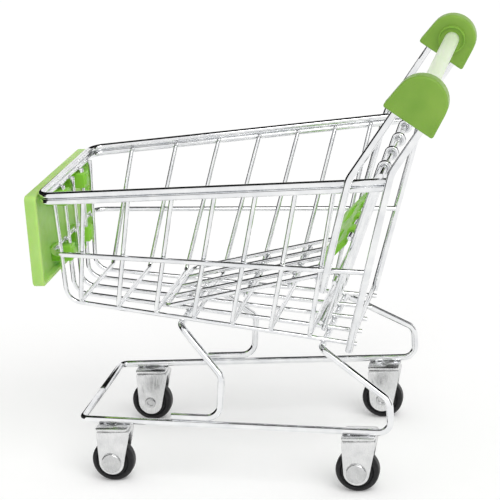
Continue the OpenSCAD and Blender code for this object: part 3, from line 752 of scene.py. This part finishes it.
# Gate: its own frame has z up the gate and x out of the basket, from the rod
gate_place = Matrix.Translation(rod) @ Matrix.Rotation(GATE_LEAN, 4, "Y")
GATE_HOOK_R = ROD_D / 2 + RUN_GAP + MESH_D / 2
CROSS_X = -GATE_HOOK_R - MESH_D - SEAT_GAP
gate_l = (rod.z - floor_z(rail_rear_x - REAR_SADDLE_INSET) - MESH_D / 2) / math.cos(GATE_LEAN)
BAR_PLUMB_L, BAR_BEND_R = 4 * MM, 8 * MM


def gate_y(i, down):
    return mix(GATE_TOP_W, GATE_FOOT_W, down / gate_l) * (2 * i / (GATE_BARS - 1) - 1)


def make_gate():
    tip_angle = math.pi + HOOK_TURN
    for i in range(GATE_BARS):
        across = Vector((0, gate_y(i, 0), 0))
        top = across + Vector((-GATE_HOOK_R, 0, 0))
        foot = Vector((-GATE_HOOK_R, gate_y(i, gate_l), -gate_l))
        hook = [("turn", across, -Y, HOOK_TURN)]
        if 2 * i == GATE_BARS - 1:
            bar = [("to", foot)]
        else:
            bar = route([top, top - Z * BAR_PLUMB_L, foot], [BAR_BEND_R])
        bend_wire(f"gate_bar_{i + 1}", across + hook_point(GATE_HOOK_R, tip_angle), -hook_heading(tip_angle),
            hook + bar, MESH_D, "gate", "gate_bars", place=gate_place)
    for part, down in (("foot", gate_l - FOOT_UP), ("seat", SEAT_DROP), ("flap", FLAP_DROP)):
        name, node = f"gate_cross_{part}_wire", f"gate_{part}_wire"
        half = gate_y(GATE_BARS - 1, down) + CROSS_OVER
        cross_wire(name, CROSS_X, half, -down, MESH_D, "gate", node, gate_place)


# Seat: its own frame has -x along the seat from its hinge
SEAT_HOOK_R = MESH_D + RUN_GAP
SEAT_REST_GAP = 0.35 * MM
SEAT_CORNER_R = 3 * MM
seat_hinge = gate_place @ Vector((CROSS_X, 0, -SEAT_DROP))
seat_end_z = floor_z(seat_hinge.x - SEAT_L) + MESH_D + SEAT_REST_GAP
seat_slope = math.asin((seat_hinge.z + SEAT_HOOK_R - seat_end_z) / SEAT_L)
seat_place = Matrix.Translation(seat_hinge) @ Matrix.Rotation(-seat_slope, 4, "Y")


def make_seat():
    straight_up = math.radians(270)
    tip_angle = straight_up + HOOK_TURN
    left, right = Y * -SEAT_W, Y * SEAT_W
    up, along = Z * SEAT_HOOK_R, X * -SEAT_L
    moves = [("turn", left, -Y, HOOK_TURN)]
    moves += route([left + up, left + up + along, right + up + along, right + up], [SEAT_CORNER_R] * 2)
    moves += [("turn", right, Y, HOOK_TURN)]
    bend_wire("seat_frame_wire", left + hook_point(SEAT_HOOK_R, tip_angle), -hook_heading(tip_angle), moves,
        MESH_D, "seat", "seat_loop", place=seat_place)
    for i in range(1, SEAT_WIRES + 1):
        across = Y * (SEAT_W * (2 * i / (SEAT_WIRES + 1) - 1))
        rear = across + up - X * (SEAT_CROSS_AT[0] - CROSS_OVER)
        front = across + up + along + X * (MESH_D / 2 + SEAT_GAP)
        wire(f"seat_long_wire_{i}", [rear, front], [], MESH_D, "seat", "seat_wires", place=seat_place)
    z = SEAT_HOOK_R - MESH_D - SEAT_GAP
    half = SEAT_W + CROSS_OVER
    for i, x in enumerate(SEAT_CROSS_AT):
        cross_wire(f"seat_cross_wire_{i + 1}", -x, half, z, MESH_D, "seat", "seat_cross_wires", seat_place)


# Welds
WELD_REACH = 0.12 * MM
WELD_R, WELD_H = 0.78 * MM, 0.34 * MM
WELD_FLASH = (1.22, 1.12, 1)
WELD_LAP = 0.5 * MM
PAST_END = 1.3 * MM
SUPPORT_WELDS_AT = (0.25, 0.8)        # Shares of the foot's length
PLATE_WELD_REACH = 4 * MM


def weld_nugget():
    """A squeezed lump with a thin flash round its waist, flat along Z."""
    clear_selection()
    bpy.ops.mesh.primitive_uv_sphere_add(segments=12, ring_count=8, radius=1, scale=(WELD_R, WELD_R, WELD_H))
    nugget = put_down(begin("weld_nugget"))
    ends = nugget.data.vertices
    open_at(nugget, "EDGE", lambda edge: all(abs(ends[v].co.z) < WELD_H / 20 for v in edge.vertices))
    bpy.ops.transform.resize(value=WELD_FLASH, center_override=(0, 0, 0))
    return put_down(nugget)


def weld_spots(body):
    """Where two wires of one body cross and touch: (middle, direction between them, along the first)."""
    spots = []
    mine = [s for s in straights if s[0] == body]
    for n, (_, name, a, b, d) in enumerate(mine):
        for _, other, p, q, other_d in mine[n + 1:]:
            if other == name:
                continue
            met = intersect_line_line(a, b, p, q)
            if met is None:
                continue
            on, off = met
            inside = all((m - s).dot(e - s) > -PAST_END * (e - s).length
                and (m - e).dot(s - e) > -PAST_END * (s - e).length for m, s, e in ((on, a, b), (off, p, q)))
            apart, touching = (off - on).length, (d + other_d) / 2
            if inside and touching - WELD_LAP < apart < touching + WELD_REACH:
                middle_point = on + (off - on) * (d / (d + other_d))
                spots.append((middle_point, (off - on).normalized(), (b - a).normalized()))
    return spots


def support_spots():
    """The support's feet lie along the rails, and their spots lie between the two."""
    spots = []
    foot_x = rail_front_x + SUPPORT_INSET - SUPPORT_LEAN
    for side in (-1, 1):
        for part in SUPPORT_WELDS_AT:
            x = foot_x - SUPPORT_FOOT * part
            spots.append((Vector((x, side * rail_y(x), rail_z + FRAME_D / 2)), Z, X))
    return spots


def plate_spots():
    """Two spots between each caster plate and the rail that lies on it."""
    spots = []
    for tag, side in CORNERS.items():
        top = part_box(f"caster_plate_{tag}")[1].z
        for ahead in (-PLATE_WELD_REACH, PLATE_WELD_REACH):
            x = middle(f"caster_plate_{tag}").x + ahead
            spots.append((Vector((x, side * rail_y(x), top)), Z, X))
    return spots


def make_welds():
    nugget = weld_nugget()
    for body, extra in (("cart", support_spots() + plate_spots()), ("gate", []), ("seat", [])):
        lumps = []
        for n, (at, between, along) in enumerate(weld_spots(body) + extra):
            third = between.cross(along).normalized()
            place = placed(at, third.cross(between), third, between)
            lumps.append(copy_piece(nugget, f"{body}_weld_{n}", place))
        take_up(lumps[0])
        for lump in lumps[1:]:
            lump.select_set(True)
        bpy.ops.object.join()
        welds = bpy.context.object
        welds.name = welds.data.name = f"{body}_welds"
        finish_piece(welds, WELD, "chrome_wire", body)
    bpy.data.objects.remove(nugget)


# Handle
def tangent_angle(foot, r):
    """Angle about the circle of the point that a line from the foot touches, on its outer side."""
    return math.atan2(foot.y, foot.x) + math.acos(r / foot.length)


def make_brackets():
    """Moulded caps over the posts' hairpins, with a ring for the tube on the inner side."""
    foot = Vector((BRACKET_R + BRACKET_FLARE, -BRACKET_DROP, 0))
    left_foot = Vector((-foot.x, foot.y, 0))
    rise = tangent_angle(foot, BRACKET_R)
    right_touch = Vector((BRACKET_R * math.cos(rise), BRACKET_R * math.sin(rise), 0))
    left_touch = Vector((-right_touch.x, right_touch.y, 0))
    down = Z * (-BRACKET_T / 2)
    moves = [("turn", down, Z, math.pi - 2 * rise)]
    moves += route([p + down for p in (left_touch, left_foot, foot, right_touch)], [BRACKET_FOOT_R] * 2)
    cap = outline_piece("handle_bracket_right", right_touch + down, moves, Z * BRACKET_T)
    soften(cap, BRACKET_EDGE, segments=5)

    ring_at = Z * (BRACKET_T / 2 + RING_H / 2 - RING_SINK / 2)
    ring = rod_piece("bracket_ring", ring_at, Z, RING_R, RING_H + RING_SINK, 64)
    open_at(ring, "FACE", lambda face: face.normal.z > 0.9)
    bpy.ops.mesh.inset(thickness=RING_LIP, depth=0)
    bpy.ops.mesh.inset(thickness=RING_SLOPE, depth=-RING_DEEP)
    put_down(ring)
    soften(ring, RING_EDGE)
    fuse(cap, ring)

    pocket_t = FRAME_D + 2 * RUN_GAP
    pocket_r = (POST_GAP + FRAME_D) / 2 + RUN_GAP
    low = Z * (-pocket_t / 2)
    start = X * pocket_r + low
    below = Y * (-2 * BRACKET_R)
    moves = [("turn", low, Z, math.pi)]
    moves += [("to", -X * pocket_r + below + low), ("to", X * pocket_r + below + low)]
    pocket = outline_piece("pocket", start, moves, Z * pocket_t)
    tube_from = bracket_y - tube_end_y - SEAT_GAP
    bore = rod_piece("bore", Z * (tube_from + BRACKET_T / 2), Z, TUBE_D / 2 + SEAT_GAP, BRACKET_T, 48)
    cut(cap, pocket, bore)

    place_piece(cap, placed(Vector((handle.x, bracket_y, handle.z)), -rake_side, rake_dir, -Y))
    finish_piece(cap, BRACKET_GREEN, "green_plastic", "cart", "bracket_right")
    other = copy_piece(cap, "handle_bracket_left", Matrix.Diagonal((1, -1, 1, 1)))
    # The copy stands for the left node alone
    del other["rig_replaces"]
    finish_piece(other, BRACKET_GREEN, "green_plastic", "cart", "bracket_left")


def make_handle_tube():
    """A plain tube with softened rims."""
    clear_selection()
    bpy.ops.mesh.primitive_circle_add(vertices=64, radius=TUBE_D / 2, fill_type="NOTHING",
        location=(handle.x, -tube_end_y, handle.z), rotation=(math.pi / 2, 0, 0))
    tube = begin("handle_grip_tube")
    for _ in range(TUBE_PARTS):
        bpy.ops.mesh.extrude_region_move(TRANSFORM_OT_translate={"value": Y * (2 * tube_end_y / TUBE_PARTS)})
    put_down(tube)
    apply_modifier(tube, "SOLIDIFY", thickness=TUBE_WALL, offset=-1.0, use_even_offset=True)
    soften(tube, TUBE_EDGE, segments=3, angle=60)
    finish_piece(tube, TUBE, "pale_tube", "cart", "handle_tube")


# Nose plaque
def make_plaque():
    """A shallow tray, open towards the basket, with four peg holes."""
    lo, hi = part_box("nose_plaque")
    size = hi - lo
    tray = rounded_plate("nose_plaque_tray", size.y, size.z, PLAQUE_CORNER_R, size.x)
    soften(tray, PLAQUE_EDGE, segments=4)
    inner_w, inner_h = size.y - 2 * PLAQUE_WALL, size.z - 2 * PLAQUE_WALL
    hollow = rounded_plate("hollow", inner_w, inner_h, PLAQUE_CORNER_R - PLAQUE_WALL, size.x)
    soften(hollow, PLAQUE_EDGE_IN, segments=3)
    place_piece(hollow, Matrix.Translation(Z * PLAQUE_WALL))
    cut(tray, hollow)
    hole_r, hole_l = PEG_D / 2 + SEAT_GAP, 4 * PLAQUE_WALL
    cut(tray, *[rod_piece("peg_hole", Vector((y * NOSE_PITCH, z * CLIP_Z, 0)), Z, hole_r, hole_l)
        for y in (-1, 1) for z in (-1, 1)])
    place_piece(tray, placed(Vector((lo.x, 0, (lo.z + hi.z) / 2)), Y, Z, X))
    finish_piece(tray, PLAQUE_GREEN, "green_plastic", "cart", "nose_plaque")


def make_clips():
    """Square clips on the nose wires, each with a raised pad inside and a peg into the plaque."""
    clips_lo, clips_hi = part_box("plaque_clips")
    plaque_lo, plaque_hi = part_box("nose_plaque")
    block_x0 = plaque_lo.x + PLAQUE_WALL + SEAT_GAP
    block_l = clips_hi.x - PAD_H - block_x0
    mid_z = (plaque_lo.z + plaque_hi.z) / 2
    channel_r = MESH_D / 2 + SEAT_GAP
    for tag, y in SIDES.items():
        beside_middle = (FLOOR_WIRES - 1) // 2 + y
        foot, top = nose_foot(beside_middle), nose_top(beside_middle)
        for z, level in ((-1, "low"), (1, "high")):
            centre = Vector((block_x0 + block_l / 2, y * NOSE_PITCH, mid_z + z * CLIP_Z))
            clip = box_piece(f"plaque_clip_{tag}_{level}", centre, (block_l, CLIP_W, CLIP_W))
            open_at(clip, "FACE", lambda face: face.normal.x > 0.9)
            bpy.ops.mesh.inset(thickness=PAD_INSET, depth=0)
            bpy.ops.mesh.inset(thickness=PAD_SLOPE, depth=PAD_H)
            put_down(clip)
            soften(clip, CLIP_EDGE, segments=3)
            peg = rod_piece("peg", Vector((clips_lo.x + PEG_L / 2, centre.y, centre.z)), X, PEG_D / 2, PEG_L)
            soften(peg, PEG_EDGE)
            fuse(clip, peg)
            cut(clip, rod_piece("channel", (foot + top) / 2, top - foot, channel_r, (top - foot).length, 24))
            finish_piece(clip, CLIP_GREEN, "green_plastic", "cart", "plaque_clips")


# Seat flap
def make_flap():
    """A strip with two slots and four knuckles that turn on the gate's flap wire."""
    hinge = gate_place @ Vector((CROSS_X, 0, -FLAP_DROP))
    knuckle_r = MESH_D / 2 + RUN_GAP + KNUCKLE_WALL
    strip_l = FLAP_L - knuckle_r - STRIP_SETBACK
    strip = rounded_plate("seat_flap_strip", strip_l, FLAP_W, STRIP_CORNER_R, FLAP_T)
    place_piece(strip, Matrix.Translation((strip_l / 2 - FLAP_L, 0, -FLAP_T / 2)))
    slots = []
    for side in (-1, 1):
        slot = rounded_plate("slot", SLOT_W, SLOT_L, SLOT_CORNER_R, 2 * FLAP_T)
        at = (-FLAP_L / 2 - SLOT_SHIFT, side * SLOT_L, -FLAP_T)
        slots.append(place_piece(slot, Matrix.Translation(at)))
    cut(strip, *slots)
    soften(strip, FLAP_EDGE, segments=3)
    for i in range(GATE_BARS - 1):
        y = (gate_y(i, FLAP_DROP) + gate_y(i + 1, FLAP_DROP)) / 2
        neck_l = knuckle_r + STRIP_SETBACK + NECK_LAP
        neck = box_piece("neck", (-neck_l / 2, y, 0), (neck_l, KNUCKLE_W, NECK_T))
        barrel = rod_piece("barrel", Vector((0, y, 0)), Y, knuckle_r, KNUCKLE_W, 40)
        soften(neck, NECK_EDGE)
        soften(barrel, BARREL_EDGE)
        fuse(strip, neck, barrel)
    cut(strip, rod_piece("bore", Vector(), Y, MESH_D / 2 + RUN_GAP, FLAP_W, 32))
    place_piece(strip, Matrix.Translation(hinge) @ Matrix.Rotation(-FLAP_SLOPE, 4, "Y"))
    finish_piece(strip, CLIP_GREEN, "green_plastic", "flap", "seat_flap")


# Casters
def across_place(at, outer):
    """Place of a turned piece that lies across the cart, with its own z towards the given side."""
    return placed(at, X, Z, -Y) if outer < 0 else placed(at, X, -Z, Y)


def make_caster(tag, side):
    body = f"caster_{tag}"
    plate_lo, plate_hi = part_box(f"caster_plate_{tag}")
    pivot, size = (plate_lo + plate_hi) / 2, plate_hi - plate_lo
    wheel_lo, wheel_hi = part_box(f"wheel_{tag}")
    hub = (wheel_lo + wheel_hi) / 2
    wheel_r = (wheel_hi.z - wheel_lo.z) / 2

    plate = rounded_plate(f"caster_mount_plate_{tag}", size.x, size.y, PLATE_CORNER_R, size.z)
    cut(plate, rod_piece("hole", Vector(), Z, PIVOT_D / 2 + SEAT_GAP, 4 * size.z))
    soften(plate, PLATE_EDGE)
    place_piece(plate, Matrix.Translation((pivot.x, pivot.y, plate_lo.z)))
    finish_piece(plate, ZINC, "zinc_steel", "cart", f"caster_plate_{tag}")

    make_pin(tag, pivot)
    make_washer(tag, pivot)
    make_fork(tag, body, pivot, hub)
    make_wheel(tag, hub, wheel_r)
    make_axle(tag, body, hub, side)


def make_pin(tag, pivot):
    """Swivel pin: pressed flush into the plate, with a formed head under the fork's crown."""
    lo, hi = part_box("swivel_pins")
    r, t, edge = PIN_HEAD_R, PIN_HEAD_T, PIN_EDGE
    top = hi.z - lo.z
    head = [(0, 0), (r - 2 * edge, 0), (r - edge * 0.6, edge * 0.4), (r, edge * 1.4), (r, t - edge * 0.4),
        (r - edge * 0.4, t)]
    stem = [(PIVOT_D / 2, t), (PIVOT_D / 2, top - edge), (PIVOT_D / 2 - edge, top), (0, top)]
    pin = lathe_piece(f"swivel_pin_{tag}", Matrix.Translation((pivot.x, pivot.y, lo.z)), head + stem, 40)
    finish_piece(pin, ZINC, "zinc_steel", "cart", "swivel_pins")


def make_washer(tag, pivot):
    lo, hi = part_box("swivel_washers")
    r, bore, edge = WASHER_R, PIVOT_D / 2 + SEAT_GAP, WASHER_EDGE
    t = hi.z - lo.z
    profile = [(bore, edge), (bore + edge, 0), (r - edge, 0), (r, edge), (r, t - edge), (r - edge, t),
        (bore + edge, t), (bore, t - edge), (bore, edge)]
    washer = lathe_piece(f"swivel_washer_{tag}", Matrix.Translation((pivot.x, pivot.y, lo.z)), profile, 40)
    finish_piece(washer, ZINC, "zinc_steel", "cart", "swivel_washers")


def make_fork(tag, body, pivot, hub):
    """Pressed fork: a flat crown folded down into two legs that narrow to a round foot."""
    lo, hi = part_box(f"fork_{tag}")
    half_w, out_w = FORK_CROWN_W / 2, hi.y - lo.y
    foot = Vector((hub.x - pivot.x, hub.z, 0))
    crown = hi.z
    corners = [Vector((half_w, crown, 0)), Vector((-half_w, crown, 0))]
    # The foot's arc runs between the points where the legs' edges touch it
    rays = [corner - foot for corner in corners]
    right = math.atan2(rays[0].y, rays[0].x) - math.acos(FORK_FOOT_R / rays[0].length)
    left = math.atan2(rays[1].y, rays[1].x) + math.acos(FORK_FOOT_R / rays[1].length)
    start = foot + Vector((math.cos(left), math.sin(left), 0)) * FORK_FOOT_R
    stop = foot + Vector((math.cos(right), math.sin(right), 0)) * FORK_FOOT_R
    moves = [("turn", foot, Z, (right - left) % math.tau)]
    moves += route([stop, *corners, start], [CROWN_CORNER_R] * 2)
    fork = outline_piece(f"caster_fork_{tag}", start, moves, Z * out_w)
    # The folds between crown and legs are the two long edges across the crown
    round_folds(fork, crown - LEVEL, CROWN_FOLD, 5)
    inner_w = WHEEL_W + 2 * SIDE_GAP
    inner_h = crown - FORK_T
    past = 2 * MM
    inner = box_piece("inner", (0, inner_h / 2 - past / 2, out_w / 2), (4 * half_w, inner_h + past, inner_w))
    round_folds(inner, inner_h / 2, CROWN_FOLD_IN, 4)
    axle_hole = rod_piece("axle_hole", foot, Z, AXLE_D / 2 + SEAT_GAP, 4 * out_w)
    pin_hole = rod_piece("pin_hole", Vector((0, crown, out_w / 2)), Y, PIVOT_D / 2 + RUN_GAP, 4 * FORK_T)
    cut(fork, inner, axle_hole, pin_hole)
    soften(fork, FORK_EDGE, segments=2, angle=55)
    place_piece(fork, placed(Vector((pivot.x, hi.y, 0)), X, Z, -Y))
    finish_piece(fork, ZINC, "zinc_steel", body, f"fork_{tag}")


def make_wheel(tag, hub, r):
    """Moulded wheel: a rounded tread, a dished side and a hub that stands a little proud."""
    half, hub_half = WHEEL_W / 2, (WHEEL_W + SIDE_GAP) / 2
    bore, dish_r, dish = AXLE_D / 2 + RUN_GAP, r - TREAD_R, half - DISH_DEEP
    bore_edge, hub_edge = 0.1 * MM, 0.15 * MM
    hub_foot, dish_foot, lip, lip_drop = 0.2 * MM, 0.5 * MM, 0.15 * MM, 0.1 * MM
    upper = [(bore, 0), (bore, hub_half - bore_edge), (bore + bore_edge, hub_half),
        (HUB_R - hub_edge, hub_half), (HUB_R, hub_half - hub_edge), (HUB_R + hub_foot, dish),
        (dish_r - dish_foot, dish), (dish_r - lip, half - lip_drop), (dish_r, half)]
    upper += arc((r - TREAD_R, half - TREAD_R), TREAD_R, 90, 0, 8)[1:]
    lower = [(radius, -along) for radius, along in reversed(upper)]
    wheel = lathe_piece(f"caster_wheel_{tag}", across_place(hub, -1), upper + lower, 64)
    finish_piece(wheel, TYRE, "black_wheel", f"wheel_body_{tag}", f"wheel_{tag}")


def make_axle(tag, body, hub, side):
    """Rivet: a low domed head on the outer side, and a crimped hollow tail on the inner side."""
    fork_lo, fork_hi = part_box(f"fork_{tag}")
    leg = (fork_hi.y - fork_lo.y) / 2 + SEAT_GAP
    flat_r = RIVET_HEAD_R - RIVET_SHOULDER_R
    crown_r = (flat_r ** 2 + RIVET_CROWN_H ** 2) / (2 * RIVET_CROWN_H)
    crown_turn = math.degrees(math.asin(flat_r / crown_r))
    head = arc((0, leg + RIVET_HEAD_T - crown_r), crown_r, 90, 90 - crown_turn, 5)
    shoulder = leg + RIVET_HEAD_T - RIVET_CROWN_H - RIVET_SHOULDER_R
    head += arc((flat_r, shoulder), RIVET_SHOULDER_R, 90 - SHOULDER_STEP, 90 - 7 * SHOULDER_STEP, 6)
    head_edge = 0.1 * MM
    head += [(RIVET_HEAD_R, shoulder), (RIVET_HEAD_R, leg + head_edge), (RIVET_HEAD_R - head_edge, leg)]
    shank = [(AXLE_D / 2, leg), (AXLE_D / 2, -leg)]
    # Foot, rim and hollow of the crimped tail: millimetres in from its edge and out of the leg
    crimp = [(0.2, 0), (0, 0.25), (0.25, 0.62), (0.6, 0.7), (0.95, 0.55), (1.15, -0.25)]
    tail = [(RIVET_TAIL_R - inwards * MM, -leg - out * MM) for inwards, out in crimp]
    tail += [(0, -leg + TAIL_HOLLOW)]
    rivet = lathe_piece(f"axle_rivet_{tag}", across_place(hub, side), head + shank + tail, 48)
    finish_piece(rivet, RIVET_STEEL, "zinc_steel", body, f"axle_{tag}")


make_chassis()
make_front_support()
make_rims()
make_belt()
make_side_wires()
make_floor_wires()
make_posts()
make_hinge_rod()
make_gate()
make_seat()
make_welds()
make_brackets()
make_handle_tube()
make_plaque()
make_clips()
make_flap()
for tag, side in CORNERS.items():
    make_caster(tag, side)


# Studio
AMBIENT = 0.66
KEY_STRENGTH, KEY_SOFTNESS = 1.3, math.radians(40)
KEY_COLOUR = (1.0, 0.995, 0.985)
KEY_FROM = Vector((0.42, -0.55, 0.8))
FLOOR_SIZE, FLOOR_DROP = 12.0, 0.02 * MM
FLOOR_COLOUR, FLOOR_LIFT = (0.93, 0.93, 0.93), 0.12
CARD_COLOUR = (0.012, 0.012, 0.012)


def white_to_the_eye(world):
    """The world lights at a plain level, and shows white behind the cart and in its reflections."""
    world.use_nodes = True
    world.node_tree.nodes.clear()
    seen = seen_rays(world.node_tree)
    mixed = add_node(seen, "MixShader", "Shader", Fac=seen)
    for n, strength in ((1, AMBIENT), (2, 1.0)):
        light = add_node(seen, "Background", "Background", Color=(1, 1, 1, 1), Strength=strength)
        give(mixed.node.inputs[n], light)
    fill(world.node_tree.nodes.new("ShaderNodeOutputWorld"), Surface=mixed)


def plain_finish(name, colour, roughness):
    finish, shader, _ = new_finish(name)
    fill(shader, Base_Color=(*colour, 1), Roughness=roughness, Specular_IOR_Level=0.0)
    return finish


def seen_rays(tree):
    """1 for rays that show a thing to the eye: straight, mirrored or through glass."""
    path = tree.nodes.new("ShaderNodeLightPath")
    seen = path.outputs["Is Camera Ray"]
    for ray in ("Is Glossy Ray", "Is Transmission Ray"):
        seen = reckoned("MAXIMUM", seen, path.outputs[ray])
    return seen


def reckoned(operation, value, other):
    """A Math node on a socket and on another socket or a number."""
    result = add_node(value, "Math", "Value")
    result.node.operation = operation
    give(result.node.inputs[0], value)
    give(result.node.inputs[1], other)
    return result


def make_floor():
    """A pale floor that keeps the cart's shadow and is lifted a little towards white for the eye."""
    clear_selection()
    bpy.ops.mesh.primitive_plane_add(size=FLOOR_SIZE, location=(0, 0, -FLOOR_DROP))
    floor = bpy.context.object
    floor.name = "studio_floor"
    finish = plain_finish("pale_floor", FLOOR_COLOUR, 0.9)
    shader = finish.node_tree.nodes["Principled BSDF"]
    lift = reckoned("MULTIPLY", seen_rays(finish.node_tree), FLOOR_LIFT)
    fill(shader, Emission_Color=(1, 1, 1, 1), Emission_Strength=lift)
    floor.data.materials.append(finish)


def make_card(name, turn, rise, distance, width, height):
    """A dark card that only mirrors see, for the wires' dark lines. Turn and rise are in degrees."""
    clear_selection()
    turn, rise = math.radians(turn), math.radians(rise)
    out = Vector((math.cos(turn) * math.cos(rise), math.sin(turn) * math.cos(rise), math.sin(rise)))
    centre = Z * (cad_hi.z / 2) + out * distance
    facing = out.to_track_quat("Z", "Y").to_euler()
    bpy.ops.mesh.primitive_plane_add(size=1, location=centre, rotation=facing)
    card = bpy.context.object
    card.name = name
    card.scale = (width, height, 1)
    card.data.materials.append(plain_finish(name + "_cloth", CARD_COLOUR, 1.0))
    for ray in ("camera", "diffuse", "transmission", "volume_scatter", "shadow"):
        setattr(card, "visible_" + ray, False)


def make_lamp():
    lamp = bpy.data.lights.new("soft_key", "SUN")
    lamp.energy = KEY_STRENGTH
    lamp.angle = KEY_SOFTNESS
    lamp.color = KEY_COLOUR
    key = bpy.data.objects.new("soft_key", lamp)
    key.rotation_euler = KEY_FROM.to_track_quat("Z", "Y").to_euler()
    bpy.context.collection.objects.link(key)


world = bpy.data.worlds.new("white_studio")
bpy.context.scene.world = world
white_to_the_eye(world)
make_floor()
make_card("flag_behind", 90, 56, 0.8, 2.2, 0.95)
make_card("flag_above", 90, 101, 0.8, 2.2, 0.58)
make_card("flag_left", 168, 0, 0.24, 0.44, 0.42)
make_card("flag_right", -4, 6, 0.5, 0.2, 0.5)
make_card("flag_corner", 10, 50, 0.5, 0.5, 0.3)
make_lamp()

# Camera
CAMERA_DISTANCE = 0.7439
CAMERA_TURN = math.radians(12.4)
CAMERA_RISE = math.radians(16.9)
CAMERA_ROLL = math.radians(-4.02)
LENS, SENSOR = 135.5, 36
AIM_AHEAD, AIM_UP = 4.2 * MM, 1.9 * MM
CLIP_NEAR, CLIP_FAR = 0.01, 50

aim = (cad_lo + cad_hi) / 2 + Vector((-AIM_AHEAD, 0, AIM_UP))
forward = Vector((-math.sin(CAMERA_TURN) * math.cos(CAMERA_RISE),
    math.cos(CAMERA_TURN) * math.cos(CAMERA_RISE), -math.sin(CAMERA_RISE)))
level = forward.cross(Z).normalized()
upright = level.cross(forward)
right = level * math.cos(CAMERA_ROLL) + upright * math.sin(CAMERA_ROLL)
up = upright * math.cos(CAMERA_ROLL) - level * math.sin(CAMERA_ROLL)
camera = bpy.data.objects.new("camera", bpy.data.cameras.new("camera"))
camera.data.lens, camera.data.sensor_width = LENS, SENSOR
camera.data.clip_start, camera.data.clip_end = CLIP_NEAR, CLIP_FAR
camera.matrix_world = placed(aim - forward * CAMERA_DISTANCE, right, up, -forward)
bpy.context.collection.objects.link(camera)
bpy.context.scene.camera = camera
bpy.context.scene.view_settings.view_transform = "Standard"
